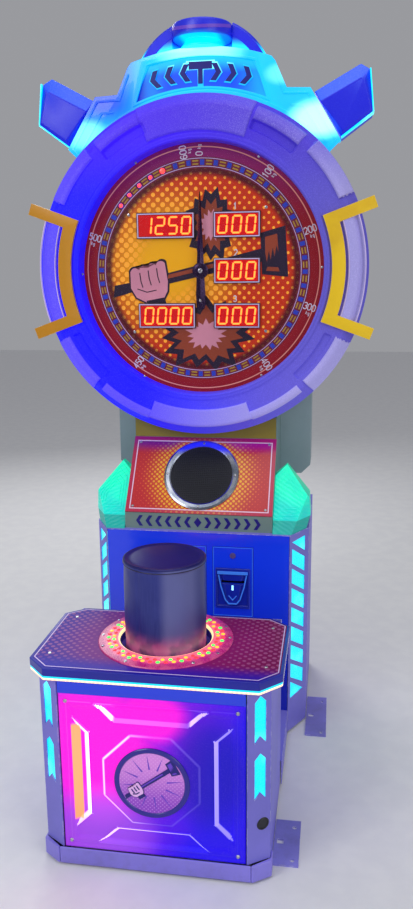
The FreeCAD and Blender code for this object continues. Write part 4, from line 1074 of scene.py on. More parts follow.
def make_crown():
    """The lit crown and its sign recess."""
    rounded_copy("crown_shell", "crown_cyan", "crown_cyan", 0.0045, 3)
    front = CROWN_FRONT
    nodes["sign_plate"].data.materials[0] = M["sign"]
    frame_line = Shape()
    inner, outer = 0.519, 0.609
    left_low, left_high = 112.4, 105.4
    ring = arc(outer, 180 - left_high, left_high, 24, AXIS) + arc(inner, left_low, 180 - left_low, 24, AXIS)
    frame_line.stroke(ring, 0.007, front - 0.0035, front + 0.004, closed=True)
    frame_line.build("sign_frame", "crown_cyan", "crown_cyan", bevel=0.0012)
    ridges = Shape()
    ridges.stroke(arc(0.5065, 52.5, 127.5, 60, AXIS), 0.010, front - 0.004, front + 0.006)
    for side in (-1, 1):
        lines = [
            [(0.214, 2.008), (0.243, 1.938), (0.312, 1.936), (0.392, 1.806), (0.360, 1.772)],
            [(0.262, 1.905), (0.300, 1.903), (0.366, 1.800)],
        ]
        for line in lines:
            ridges.stroke([(side * x, z) for x, z in line], 0.006, front - 0.003, front + 0.004)
    ridges.build("crown_ridges", "crown_cyan", "crown_cyan", bevel=0.001)
    motif, outline = Shape(), Shape()
    for step in range(-3, 4):
        degrees = 90 - step * 4.6
        middle = polar(0.5625, degrees, AXIS)
        put = placing(*middle, degrees - 90, 1.15 if step == 0 else 0.9)
        if step == 0:
            flat = [(0.030, 0.006), (0.030, 0.024), (-0.030, 0.024), (-0.030, 0.006),
                    (-0.006, 0.006), (-0.006, -0.028), (0.006, -0.028), (0.006, 0.006)]
        else:
            way = 1 if step > 0 else -1
            flat = [(-0.016 * way, 0.026), (0.002 * way, 0.026), (0.018 * way, 0),
                    (0.002 * way, -0.026), (-0.016 * way, -0.026), (0.000, 0)]
        grown = [(a * 1.22, u * 1.16 - (0.0016 if step == 0 else 0)) for a, u in flat]
        motif.prism([put(a, u) for a, u in flat], SIGN_Y - 0.0055, SIGN_Y + 0.0005)
        outline.prism([put(a, u) for a, u in grown], SIGN_Y - 0.0030, SIGN_Y + 0.0005)
    motif.build("sign_motif", "navy", "dome_blue", bevel=0.0008)
    outline.build("sign_motif_outline", "crown_cyan", "crown_cyan")


def make_horns():
    """Each horn has a flat face, a sloping upper band and a closed back, round its hollow."""
    low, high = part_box("horns")
    front, back = low.y, high.y
    outer = [(0.328, 1.943), (0.458, 2.012), (0.484, 1.995), (0.497, 1.878), (0.408, 1.814)]
    face = [(0.346, 1.911), (0.459, 1.969), (0.470, 1.962), (0.490, 1.884), (0.413, 1.830)]
    slope = [0.026, 0.026, 0.018, 0.006, 0.006]
    for side, label in ((-1, "left"), (1, "right")):
        rings = [
            [(side * x, front, z) for x, z in face],
            [(side * x, front + d, z) for (x, z), d in zip(outer, slope)],
            [(side * x, back, z) for x, z in outer],
        ]
        verts = [v for ring in rings for v in ring]
        horn = piece(f"horn_{label}", verts, ends(3, 5) + skin(3, 5), "horn", "dome_blue", bevel=0.0035,
                     segments=3)
        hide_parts("horns")
        rim = Shape()
        rim.stroke([(side * 0.497, 1.878), (side * 0.408, 1.814)], 0.004, front + 0.003, front + 0.030)
        rim.stroke([(side * 0.4845, 1.9945), (side * 0.4965, 1.880)], 0.0035, front + 0.004, front + 0.016)
        rim.build(f"horn_rim_{label}", "cyan_lens", "cyan_lens")


def make_dome_details():
    """The lighter curved bands on the dome, the ring on its cap and the wall of the cap's well."""
    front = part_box("dome")[0].y
    band = Shape()
    for start, end in ((22, 62), (118, 158)):
        points = arc(0.1955, start, end, 20, (0, DOME_MIDDLE))
        band.stroke(points, 0.026, front - 0.0012, front + 0.004)
    band.build("dome_side_bands", "horn", "dome_blue", bevel=0.001)
    cap_low, cap_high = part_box("dome_cap")
    cap_y = (cap_low.y + cap_high.y) / 2
    cap_radius = cap_high.x

    def on_cap(a, u, d):
        """A point on the cap's side, by its angle and height."""
        return Vector(((cap_radius - d) * math.sin(a), cap_y - (cap_radius - d) * math.cos(a), u))

    ring = Shape()
    turns = [math.radians(-76 + 152 * i / 60) for i in range(61)]
    ring_line = [(a, cap_high.z - 0.0075 - 0.0180 * math.cos(a)) for a in turns]
    for (a, here), (b, after) in zip(ring_line, ring_line[1:]):
        outline = [(a, here - 0.0045), (b, after - 0.0045), (b, after + 0.0045), (a, here + 0.0045)]
        ring.prism(outline, -0.0012, 0.002, on_cap)
    ring.build("cap_ring", "badge_violet", "dome_blue")
    wall = [(cap_radius + 0.0016, cap_low.z + 0.001), (cap_radius + 0.0036, cap_low.z + 0.001),
            (cap_radius + 0.0036, cap_low.z + 0.052), (cap_radius + 0.0016, cap_low.z + 0.052)]
    verts = []
    steps = 60
    for i in range(steps + 1):
        angle = math.radians(-4 + 188 * i / steps)
        verts += [(r * math.cos(angle), cap_y + r * math.sin(angle), z) for r, z in wall]
    piece("cap_well_wall", verts, skin(steps + 1, 4) + ends(steps + 1), "dome_blue", "dome_blue")


# ---------------------------------------------------------------- dial


def make_track():
    """The ring of lamps round the dial's picture: blue squares, gold dashes, pale rails."""
    front = FACE_Y - 0.0016
    blue, gold, rail = Shape(), Shape(), Shape()
    for radius in (0.3005, 0.3235):
        rail.stroke(arc(radius, 0, 358, 179, AXIS), 0.0016, front, FACE_Y, closed=True)
    lamps = 48
    for index in range(lamps):
        degrees = 360 * index / lamps + 6.5
        blue.stroke(arc(TRACK_RADIUS, degrees - 1.15, degrees + 1.15, 1, AXIS), 0.0155, front - 0.0008,
                    FACE_Y)
        for radius in (0.3075, 0.3165):
            gold.stroke(arc(radius, degrees + 2.1, degrees + 5.4, 1, AXIS), 0.0042, front, FACE_Y)
    blue.build("track_squares", "track_blue", "display_black")
    gold.build("track_dashes", "track_gold", "display_black")
    rail.build("track_rails", "line_pale", "display_black")
    lit = Shape()
    for index, degrees in enumerate((111.5, 119.0, 126.5, 134.0, 141.5)):
        x, z = polar(TRACK_RADIUS, degrees, AXIS)
        add_cap(lit, (x, FACE_Y - 0.001, z), (0, -1, 0), 0.0080 if index == 0 else 0.0056, 0.004)
    lit.build("track_lamps_lit", "lamp_bright", "lamp_lens")


def make_numerals():
    """Weights round the dial, each read along its spoke."""
    shape = Shape()
    marks = [("600", 98.6), ("0", 90.6), ("100", 54.6), ("200", 19.6), ("300", -18.4), ("400", -54.6),
             ("450", -126.2), ("500", 162.6)]
    for text, degrees in marks:
        inward = 110 < degrees % 360 < 260
        turn = degrees + 180 if inward else degrees
        offset = 0.3440 if text != "0" else 0.3360
        write(shape, text, polar(offset, degrees, AXIS), 0.0190, turn, 0.0026, FACE_Y - 0.0012, FACE_Y)
        side = 1 if inward else -1
        unit = (0.3560, degrees) if text == "0" else (offset + 0.002, degrees + side * 3.1)
        write(shape, "kg", polar(*unit, AXIS), 0.0095, turn, 0.0015, FACE_Y - 0.0012, FACE_Y)
    for text, x, z in (("1", 0.1025, 1.6290), ("2", 0.1045, 1.4955), ("3", 0.1020, 1.3600)):
        write(shape, text, (x, z), 0.0170, 0, 0.0030, FACE_Y - 0.0012, FACE_Y)
    shape.build("dial_numerals", "line_white", "dial_print")


# A generic mallet: each part's layer, its lift off the face and its outline.
MALLET = (
    ("dark", 0.0004, ((0.178, 0.108), (0.252, 0.128), (0.262, -0.020), (0.184, -0.012))),
    ("rust", 0.0009, ((0.192, 0.096), (0.228, 0.105), (0.232, 0.052), (0.226, 0.072), (0.221, 0.040),
                      (0.215, 0.066),
                      (0.209, 0.030), (0.204, 0.058), (0.198, 0.024), (0.193, 0.050))),
    ("rust", 0.0009, ((0.196, -0.002), (0.200, 0.010), (0.232, 0.008), (0.236, -0.004))),
    ("dark", 0.0012, ((-0.262, -0.072), (-0.256, -0.042), (0.186, 0.064), (0.190, 0.026))),
    ("rust", 0.0018, ((-0.104, -0.022), (-0.102, -0.010), (0.120, 0.040), (0.122, 0.028))),
    ("dark", 0.0014, ((-0.276, -0.078), (-0.272, -0.042), (-0.226, -0.034), (-0.230, -0.066))),
)


def mallet(into, put, front, back):
    """The mallet, drawn through put(across, up); into holds the layers."""
    for layer, lift, outline in MALLET:
        into[layer].prism([put(*p) for p in outline], front - lift, back)


def fist(into, put, front, back):
    """A plain gloved hand closed round the handle: four knuckles, a thumb and a cuff."""
    outline = []
    for index in range(4):
        middle = Vector((-0.2050 + index * 0.0265, -0.006 + index * 0.0068))
        outline += arc(0.0165, 165, 40, 5, middle)
    outline += [(-0.104, -0.030), (-0.106, -0.060), (-0.120, -0.086), (-0.166, -0.096), (-0.203, -0.078),
                (-0.220, -0.050)]
    middle = Vector((-0.165, -0.040))
    grown = [tuple(middle + (Vector(p) - middle) * 1.09) for p in outline]
    into["dark"].prism([put(*p) for p in grown], front - 0.0010, back)
    into["skin"].prism([put(*p) for p in outline], front - 0.0016, back)
    for index in range(3):
        a = -0.1915 + index * 0.0265
        u = -0.004 + index * 0.0068
        into["dark"].stroke([put(a, u), put(a + 0.003, u - 0.024), put(a + 0.009, u - 0.044)], 0.0030,
                            front - 0.0021, back)
    into["dark"].stroke([put(-0.200, -0.052), put(-0.170, -0.062), put(-0.140, -0.056)], 0.0028,
                        front - 0.0021, back)
    into["dark"].prism([put(*p) for p in [(-0.172, -0.088), (-0.116, -0.078), (-0.106, -0.106),
                                          (-0.166, -0.118)]], front - 0.0018, back)


def star(into, put, front, back, middle, size, points, tones, wave):
    """A jagged impact star in a few tones, one inside another."""
    for step, (layer, reach, dip) in enumerate(tones):
        outline = []
        for i in range(2 * points):
            angle = TAU * i / (2 * points) + 0.1
            radius = (reach if i % 2 else dip) * (1 + wave * math.sin(5 * angle + 0.6))
            a, u = radius * size[0] * math.cos(angle), radius * size[1] * math.sin(angle)
            outline.append(put(middle[0] + a, middle[1] + u))
        into[layer].prism(outline, front - 0.0002 - 0.0005 * step, back)


def burst(into, put, front, back):
    """The two impact stars behind the mallet."""
    low = (("dark", 1.0, 0.74), ("rust", 0.76, 0.56), ("skin", 0.42, 0.28))
    star(into, put, front, back, (0.012, -0.192), (0.152, 0.112), 15, low, 0.09)
    high = (("dark", 1.0, 0.78), ("rust", 0.72, 0.52), ("skin", 0.44, 0.30))
    star(into, put, front, back, (0.030, 0.132), (0.078, 0.108), 13, high, 0.07)


def make_art():
    """The printed picture behind the pointer: a mallet held in a gloved hand over an impact star."""
    layers = {key: Shape() for key in ("dark", "skin", "rust")}

    put = placing(*AXIS, 0, 1)
    front, back = FACE_Y - 0.0004, FACE_Y + 0.0005
    burst(layers, put, front, back)
    mallet(layers, put, front, back)
    fist(layers, put, front, back)
    for key, name in (("dark", "print_dark"), ("skin", "print_skin"), ("rust", "print_rust")):
        layers[key].build(f"dial_art_{key}", name, "dial_print")


def make_displays():
    """Five windows of red digits in thin pale frames."""
    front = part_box("score_displays")[0].y
    case, frame_lines, window, lit, unlit = Shape(), Shape(), Shape(), Shape(), Shape()
    rows = [("1250", -0.107, 0.178, 1), ("0000", -0.107, 0.178, -1)]
    rows += [("000", 0.109, 0.141, row) for row in (1, 0, -1)]
    tall = 0.076
    for text, x, wide, row in rows:
        z = DIAL.z + row * 0.1335
        hx, hz = wide / 2, tall / 2
        sides = (x - hx, x + hx, z - hz, z + hz)
        case.prism(rectangle(*sides), front + 0.0015, FACE_Y)
        frame_lines.stroke(rectangle(*sides, 0.004), 0.0030, front, front + 0.003, closed=True)
        window.prism(rectangle(*sides, 0.007), front + 0.0008, front + 0.003)
        pitch = 0.0395 if len(text) == 4 else 0.0420
        shift = 0.004 if len(text) == 4 else 0.0
        for index, letter in enumerate(text):
            middle = x + shift + (index - (len(text) - 1) / 2) * pitch
            seven_segment(lit, unlit, letter, middle, z, 0.0250, 0.0480, 0.10, front - 0.0004, front + 0.0012)
    cases = case.build("display_cases", "display_black", "display_black", bevel=0.0012)
    frame_lines.build("display_frames", "line_pale", "display_black")
    window.build("display_windows", "digit_window", "display_black")
    lit.build("display_digits_lit", "digit_lit", "lamp_lens")
    unlit.build("display_digits_unlit", "digit_window", "display_black")
    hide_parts("score_displays")


def make_needle():
    """The pointer: a tapered blade with a ridge, a wide tail and a domed hub."""
    low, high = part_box("needle")
    z = DIAL.z
    back, front = low.y + 0.007, low.y + 0.001
    half = [(-0.114, 0.009), (-0.110, 0.0125), (-0.070, 0.0145), (-0.030, 0.0125), (0.0, 0.0115),
            (0.060, 0.0090), (0.150, 0.0050), (0.220, 0.0022), (0.228, 0.0008)]
    verts = []
    for along, wide in half:
        verts += [(-wide, back, z + along), (0, front, z + along), (wide, back, z + along),
                  (0, back + 0.0006, z + along)]
    faces = skin(len(half), 4) + ends(len(half))
    blade = piece("needle_blade", verts, faces, "needle_dark", "needle_dark", "pointer")
    profile = [(0, low.y + 0.0075), (0.024, low.y + 0.0075), (0.024, low.y + 0.003), (0.021, low.y + 0.0008),
               (0.012, low.y - 0.0002), (0, low.y - 0.0006)]
    verts, faces = closed_lathe(profile, 64, "Y", (0, 0, z))
    piece("needle_hub", verts, faces, "needle_dark", "needle_dark", "pointer")
    profile = [(0, high.y), (0.003, high.y), (0.003, low.y + 0.007), (0, low.y + 0.007)]
    verts, faces = closed_lathe(profile, 32, "Y", (0, 0, z))
    piece("needle_shaft", verts, faces, "bright_steel", "bright_steel", "pointer")
    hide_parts("needle")
    caps = Shape()
    add_cap(caps, (0, low.y - 0.0004, z), (0, -1, 0), 0.0068, 0.0016)
    add_cap(caps, (0, front + 0.0002, z - 0.088), (0, -1, 0), 0.0040, 0.0016)
    caps.build("needle_screws", "ring_chrome", "ring_chrome", "pointer")


def make_dial():
    """The dial's printed disc and all that lies on it."""
    profile = [(0, FACE_Y), (DIAL_RADIUS, FACE_Y), (DIAL_RADIUS, FACE_Y + 0.004), (0, FACE_Y + 0.004)]
    verts, faces = closed_lathe(profile, 180, "Y", (DIAL.x, 0, DIAL.z))
    print_disc = piece("dial_print_disc", verts, faces, "dial_print", "dial_print")
    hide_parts("dial_face")
    make_track()
    make_numerals()
    make_art()
    make_displays()
    make_needle()
    spots = ((-0.221, 1.610), (0.195, 1.624), (-0.212, 1.260), (0.196, 1.263))
    screws("dial_screws", [(x, FACE_Y - 0.0002, z) for x, z in spots], (0, -1, 0), (0.0048, 0.0022),
           "ring_chrome", "ring_chrome")


# ---------------------------------------------------------------- neck

PANEL_FOOT = PANEL_LOW.z + 0.003 * math.sin(LEAN)


def leaning(a, u, d):
    """A point of the tilted speaker panel: across, up along it, and depth into it."""
    return Vector((
        a,
        PANEL_LOW.y + u * math.sin(LEAN) + d * math.cos(LEAN),
        PANEL_FOOT + u * math.cos(LEAN) - d * math.sin(LEAN),
    ))


def on_fairing(a, u, d):
    """A point on a fairing's front, which leans back and is cut away at the outer corner."""
    lean = (u - FAIRING_LOW.z) * math.tan(LEAN)
    corner = (abs(a) - 0.286) * 94 / 53
    return Vector((a, FAIRING_LOW.y + max(lean, corner, 0) + d, u))


def divided(points, most, closed=True):
    """The same line with no run longer than most."""
    out = []
    count = len(points) if closed else len(points) - 1
    for i in range(count):
        a, b = Vector(points[i]), Vector(points[(i + 1) % len(points)])
        steps = max(1, math.ceil((b - a).length / most))
        out += [tuple(a + (b - a) * j / steps) for j in range(steps)]
    return out if closed else out + [tuple(points[-1])]


def make_grille():
    """Woven mesh over the loudspeaker: real wires in two directions on a dished disc."""
    shape = Shape()
    radius, pitch, wire = 0.0955, 0.0062, 0.0011
    steps = int(radius / pitch)
    for index in range(-steps, steps + 1):
        offset = index * pitch
        reach = math.sqrt(radius * radius - offset * offset)
        for turned in (False, True):
            line = []
            for j in range(13):
                other = -reach + 2 * reach * j / 12
                line.append((offset, other) if turned else (other, offset))

            def dished(a, u, d, lift=0.0004 if turned else -0.0004):
                """A point of the dished mesh."""
                crown = 0.0042 * (1 - (a * a + (u - SPEAKER_ALONG) ** 2) / (radius * radius))
                return leaning(a, u, d + lift - crown)

            points = [(a, SPEAKER_ALONG + u) for a, u in line]
            shape.stroke(points, wire, -0.0004, 0.0006, dished)
    shape.build("grille_mesh", "grille_wire", "grille_black")


def make_neck():
    """Speaker grille, name strip decoration, gold plate and the fairings' nested ridges."""
    make_grille()
    strip = Shape()
    y = NAME_LOW.y
    middle = (NAME_LOW.z + NAME_HIGH.z) / 2
    for step in range(-6, 7):
        x = step * 0.0305
        way = 1 if step > 0 else -1
        if step == 0:
            outline = [(0.000, 0.016), (0.012, 0.0), (0.000, -0.016), (-0.012, 0.0)]
        else:
            outline = [(-0.010 * way, 0.017), (0.001 * way, 0.017), (0.012 * way, 0),
                       (0.001 * way, -0.017), (-0.010 * way, -0.017), (0.001 * way, 0)]
        strip.prism([(x + a, middle + u) for a, u in outline], y - 0.0006, y + 0.0004)
    strip.build("name_strip_chevrons", "navy", "name_grey")
    plate = Shape()
    front = 0.266
    plate.prism(rectangle(-0.228, 0.228, 0.9225, 0.988), front - 0.0016, front + 0.0004)
    plate.build("neck_gold_plate", "neck_gold", "trim_gold", bevel=0.0006)
    outline = [(0.2335, 0.698), (0.2335, 0.813), (0.266, 0.843), (0.335, 0.757), (0.340, 0.702),
               (0.338, 0.698)]
    middle_x, middle_z = 0.284, 0.752
    ridges = Shape()
    for shrink in (0.93, 0.76, 0.59, 0.42):
        line = [(middle_x + (x - middle_x) * shrink, middle_z + (z - middle_z) * shrink) for x, z in outline]
        for side in (1, -1):
            points = divided([(side * x, z) for x, z in line], 0.012)
            ridges.stroke(points, 0.0042, -0.0028, 0.0015, on_fairing, closed=True)
    ridges.build("fairing_ridges", "fairing_green", "fairing_green", smooth=False)


# ---------------------------------------------------------------- column


def make_column():
    """The note and coin plate on the right door, with its shield-shaped rim in a painted highlight colour,
    and painted highlights along the doors' edges.
    """
    rounded_copy("bill_bezel", "bill_blue", "black_plastic", 0.0016, 2, body="coin_door_leaf")
    low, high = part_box("bill_bezel")
    middle = (low.x + high.x) / 2
    shield = [(-0.043, 0.529), (-0.036, 0.492), (-0.023, 0.450), (-0.012, 0.436), (0.012, 0.436),
              (0.023, 0.450), (0.036, 0.492), (0.043, 0.529)]
    # The rim's raised strokes are drawn in a painted highlight colour.
    rim = Shape()
    rim.stroke([(middle + a, z) for a, z in shield], 0.0036, low.y - 0.0030, low.y + 0.0006)
    rim.stroke([(middle - 0.047, 0.5365), (middle + 0.047, 0.5365)], 0.0090, low.y - 0.0036, low.y + 0.0006)
    rim.stroke([(middle - 0.012, 0.462), (middle, 0.448), (middle + 0.012, 0.462)], 0.0026, low.y - 0.0020,
               low.y + 0.0006)
    rim.build("bill_bezel_shield", "bill_edge", "black_plastic", "coin_door_leaf", bevel=0.0006)
    slot = Shape()
    slot.prism(rectangle(middle - 0.0028, middle + 0.0028, 0.4805, 0.4955), low.y - 0.0014, low.y + 0.0006)
    slot.build("bill_slot_light", "slot_light", "cyan_lens", "coin_door_leaf")
    for door, slot, side in (("coin_door", "front_blue", 0), ("cash_door", "front_blue", 0),
                             ("rear_door", "cabinet_grey", 1)):
        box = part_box(door)
        y = box[side].y
        # A painted highlight along each door's edge.
        edge = Shape()
        outline = rectangle(box[0].x, box[1].x, box[0].z, box[1].z, 0.0012)
        edge.stroke(outline, 0.0016, y - 0.0006, y + 0.0006, closed=True)
        edge.build(door + "_edge", "bill_edge", slot, door + "_leaf")


# ---------------------------------------------------------------- table


TABLE_OUTLINE = [(-0.256, -0.5795), (0.256, -0.5795), (0.306, -0.5295), (0.306, -0.2655),
                 (0.256, -0.2255), (-0.256, -0.2255), (-0.306, -0.2655), (-0.306, -0.5295)]


def inward(points):
    """Each side of a convex outline: its start, its direction and its inward normal."""
    middle = sum((Vector(p) for p in points), Vector((0, 0))) / len(points)
    sides = []
    for i, point in enumerate(points):
        start, run = Vector(point), Vector(points[(i + 1) % len(points)]) - Vector(point)
        normal = Vector((-run.y, run.x)).normalized()
        sides.append((start, run.normalized(), -normal if normal.dot(middle - start) < 0 else normal))
    return sides


def inset_outline(points, inset):
    """A convex outline moved inwards; its sides stay parallel."""
    lines = [(start + normal * inset, run) for start, run, normal in inward(points)]
    out = []
    for i, (b, v) in enumerate(lines):
        a, u = lines[i - 1]
        cross = u.x * v.y - u.y * v.x
        out.append(tuple(a + u * (((b - a).x * v.y - (b - a).y * v.x) / cross)))
    return out


def reach_of(points, about, degrees):
    """Distance from a point inside a convex outline to its edge, in one direction."""
    way = Vector(polar(1, degrees))
    best = math.inf
    for i in range(len(points)):
        a = Vector(points[i]) - Vector(about)
        b = Vector(points[(i + 1) % len(points)]) - Vector(about)
        run = b - a
        cross = way.x * run.y - way.y * run.x
        if abs(cross) < 1e-9:
            continue
        t = (a.x * run.y - a.y * run.x) / cross
        k = (a.x * way.y - a.y * way.x) / cross
        if t > 0 and -1e-6 <= k <= 1 + 1e-6:
            best = min(best, t)
    return best


def flat_ring(outline, about, hole, low, high):
    """A flat sheet with that outline and a round hole."""
    corners = [math.degrees(math.atan2(y - about[1], x - about[0])) % 360 for x, y in outline]
    turns = sorted(set([round(a, 4) for a in corners] + [i * 1.5 for i in range(240)]))
    verts = []
    for degrees in turns:
        far = reach_of(outline, about, degrees)
        verts += [(*polar(radius, degrees, about), z) for radius,
                  z in ((hole, low), (far, low), (far, high), (hole, high))]
    return verts, skin(len(turns), 4, closed=True)


def make_table():
    """The table: its printed sheet and border, the lamp ring, its screws and the beads under its edge."""
    rounded_copy("table_top", "table_print", "table_print", 0.004, 3)
    top = TABLE_TOP
    verts, faces = flat_ring(inset_outline(TABLE_OUTLINE, 0.0075), PAD_AXIS, 0.1715, top - 0.001,
                             top + 0.0007)
    piece("table_sheet", verts, faces, "table_sheet", "table_print")
    border = Shape()
    line = inset_outline(TABLE_OUTLINE, 0.0115)
    border.stroke(line, 0.0026, top + 0.0010, top + 0.0002, lambda a, u, d: Vector((a, u, d)), closed=True)
    border.build("table_border_line", "line_pale", "table_print")
    profile = [(0.1165, 0.5345), (0.1195, 0.5375), (0.1240, 0.5375), (0.1265, 0.5352), (0.1550, 0.5358),
               (0.1690, 0.5335), (0.1708, 0.5312), (0.1708, 0.5300), (0.1165, 0.5300)]
    verts, faces = ring_lathe(profile, 180, "Z", (*PAD_AXIS, 0))
    ring = piece("ring_moulding", verts, faces, "ring_print", "ring_print")
    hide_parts("ring_plate")
    order = "red amber green red amber red green red amber green red".split()
    groups = {colour: Shape() for colour in order}
    for row, (radius, lamps, size) in enumerate(((0.1315, 44, 0.0048), (0.1445, 48, 0.0052))):
        for index in range(lamps):
            spot = (*polar(radius, 360 * index / lamps + 4 * row, PAD_AXIS), LAMP_SEAT)
            add_cap(groups[order[(index + 3 * row) % len(order)]], spot, (0, 0, 1), size, 0.0026, 12)
    for colour, shape in groups.items():
        item = shape.build("ring_lamp_" + colour, "lamp_" + colour, "lamp_lens")
        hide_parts("ring_lamps")
    spots = [(*polar(0.1625, degrees, PAD_AXIS), SCREW_SEAT) for degrees in (28, 152, 208, 332)]
    screws("ring_screws", spots, (0, 0, 1), (0.0042, 0.0022), "ring_chrome", "ring_chrome")
    beads = Shape()
    for start, end in zip(TABLE_OUTLINE[-1:] + TABLE_OUTLINE[:3], TABLE_OUTLINE[:4]):
        a, b = Vector(start), Vector(end)
        count = int((b - a).length / 0.0105)
        for i in range(count):
            spot = a + (b - a) * (i + 0.5) / count
            outward = Vector(((b - a).y, -(b - a).x)).normalized()
            spot -= outward * 0.0036
            add_cap(beads, (spot.x, spot.y, STRIP_LOW.z + 0.0034), (outward.x, outward.y, 0), 0.0034, 0.0024,
                    10)
    beads.build("edge_beads", "bead_light", "light_strip")


def make_pad():
    """The striking cushion: a wrapped cylinder with a seam, a rolled rim and a crowned top."""
    low, high = PAD_LOW.z, PAD_HIGH.z
    radius = (PAD_HIGH.x - PAD_LOW.x) / 2
    profile = [(0, low), (radius - 0.004, low), (radius - 0.001, low + 0.003)]
    for i in range(34):
        z = low + 0.008 + (high - low - 0.020) * i / 33
        bulge = 0.0012 * math.sin(math.pi * i / 33)
        profile.append((radius - 0.0022 + bulge, z))
    profile += [(radius - 0.0006, high - 0.0092), (radius, high - 0.0065),
                (radius - 0.0008, high - 0.0030), (radius - 0.0045, high - 0.0006),
                (radius - 0.0100, high - 0.0016), (radius - 0.0135, high - 0.0030)]
    for i in range(9):
        share = 1 - (i + 1) / 10
        profile.append(((radius - 0.0135) * share, high - 0.0030 + 0.0028 * (1 - share * share)))
    profile.append((0, high - 0.0002))
    verts, faces = closed_lathe(profile, 160, "Z", (*PAD_AXIS, 0))
    shaped = []
    for v in verts:
        across, back = v.x - PAD.x, v.y - PAD.y
        angle = math.atan2(back, across)
        seam = (math.degrees(angle) + 118 + 180) % 360 - 180
        dent = 0.0016 * math.exp(-(seam / 1.6) ** 2)
        wave = 0.0006 * math.sin(5 * angle + v.z * 30)
        wave *= smooth_step(v.z, low, low + 0.02) * smooth_step(v.z, high, high - 0.02)
        size = math.hypot(across, back)
        scale = max(0, size - dent - abs(wave)) / size if size > 1e-6 else 1
        shaped.append(Vector((PAD.x + across * scale, PAD.y + back * scale, v.z)))
    cushion = piece("striking_cushion", shaped, faces, "pad_rubber", "pad_rubber", "striker")
    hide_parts("striking_pad")
    seams = Shape()
    for z in (high - 0.0105, low + 0.0075):
        ring = [(radius - 0.0009, z - 0.0011), (radius, z), (radius - 0.0009, z + 0.0011),
                (radius - 0.0030, z)]
        seams.add(*ring_lathe(ring, 120, "Z", (*PAD_AXIS, 0)))
    seams.build("cushion_piping", "pad_piping", "pad_rubber", "striker")


# ---------------------------------------------------------------- pedestal


def make_spring():
    """The return spring, rebuilt from its CAD node with a mesh of its own."""
    spring = rounded_copy("return_spring", "bright_steel", "bright_steel", 0.0)
    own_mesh(spring)


def inside(sides, spot):
    """How far a spot lies inside a convex outline, given by inward(); negative outside."""
    return min(normal.dot(spot - start) for start, _, normal in sides)


def make_moulding():
    """The backlit panel: four sunk trapezoids with sloping walls round a raised octagon."""
    low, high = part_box("front_moulding")
    middle_x, middle_z = (low.x + high.x) / 2, (low.z + high.z) / 2
    sunk = []
    for side in (-1, 1):
        upright_sides = [(0.1480, -0.112), (0.1480, 0.112), (0.2010, 0.162), (0.2010, -0.162)]
        level_sides = [(-0.091, 0.1380), (0.091, 0.1380), (0.146, 0.1890), (-0.146, 0.1890)]
        sunk.append((inward([(side * a, u) for a, u in upright_sides]), 0.0200 if side < 0 else 0.0130))
        sunk.append((inward([(a, side * u) for a, u in level_sides]), 0.0130))
    octagon = inward([polar(0.1300, 22.5 + 45 * i, (-0.002, -0.006)) for i in range(8)])
    half_w, half_h = (high.x - low.x) / 2, (high.z - low.z) / 2
    columns, rows = 200, 186

    def depth(a, u):
        """How far back the face lies: a rounded edge, a bead along it, the recesses, the octagon."""
        edge, spot = min(half_w - abs(a), half_h - abs(u)), Vector((a, u))
        value = 0.0040 * smooth_step(edge, 0.0040, 0.0)
        value += 0.0016 * (smooth_step(edge, 0.0105, 0.0130) - smooth_step(edge, 0.0175, 0.0205))
        for sides, slope in sunk:
            value = max(value, 0.0098 * smooth_step(inside(sides, spot), -0.0010, slope))
        raised = smooth_step(inside(octagon, spot), -0.0020, 0.0090)
        return max(0.0, value + 0.0042 * (1 - raised) * smooth_step(edge, 0.026, 0.040) * (value < 0.001))

    verts, faces = [], []
    for j in range(rows + 1):
        for i in range(columns + 1):
            a, u = -half_w + 2 * half_w * i / columns, -half_h + 2 * half_h * j / rows
            verts.append((middle_x + a, low.y + depth(a, u), middle_z + u))
    wide = columns + 1
    for j in range(rows):
        for i in range(columns):
            k = j * wide + i
            faces.append([k, k + 1, k + 1 + wide, k + wide])
    border = list(range(wide)) + [j * wide + columns for j in range(1, rows + 1)]
    border += [rows * wide + i for i in range(columns - 1, -1, -1)]
    border += [j * wide for j in range(rows - 1, 0, -1)]
    start = len(verts)
    verts += [(verts[k][0], high.y, verts[k][2]) for k in border]
    count = len(border)
    for i in range(count):
        k = (i + 1) % count
        faces.append([border[i], start + i, start + k, border[k]])
    faces.append([start + i for i in range(count - 1, -1, -1)])
    panel = piece("moulding_panel", verts, faces, "backlit_plastic", "backlit_plastic")
    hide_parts("front_moulding")


def make_pedestal():
    """The panel, the skirt, the badge and the round plug on the right corner cover."""
    make_moulding()
    rounded_copy("front_skirt", "skirt_beige", "skirt_beige", 0.0035)
    make_emblem()
    plug = Shape()
    profile = [(0, 0), (0.0165, 0), (0.0165, 0.002), (0.0135, 0.0042), (0.0125, 0.0040), (0.0115, 0.0022),
               (0, 0.0018)]
    verts, faces = closed_lathe(profile, 40, "Z")
    low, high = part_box("corner_covers")
    depth = high.y - low.y
    inner_edge, outer_edge, plug_x = 0.228, 0.280, 0.2625
    wide = outer_edge - inner_edge
    outward = Vector((depth, -wide, 0)).normalized()
    turn = Vector((0, 0, 1)).rotation_difference(outward).to_matrix()
    spot = Vector((plug_x, low.y + depth * (plug_x - inner_edge) / wide, 0.150))
    plug.add([turn @ v + spot - outward * 0.0004 for v in verts], faces)
    plug.build("side_plug", "black_plastic", "black_plastic")


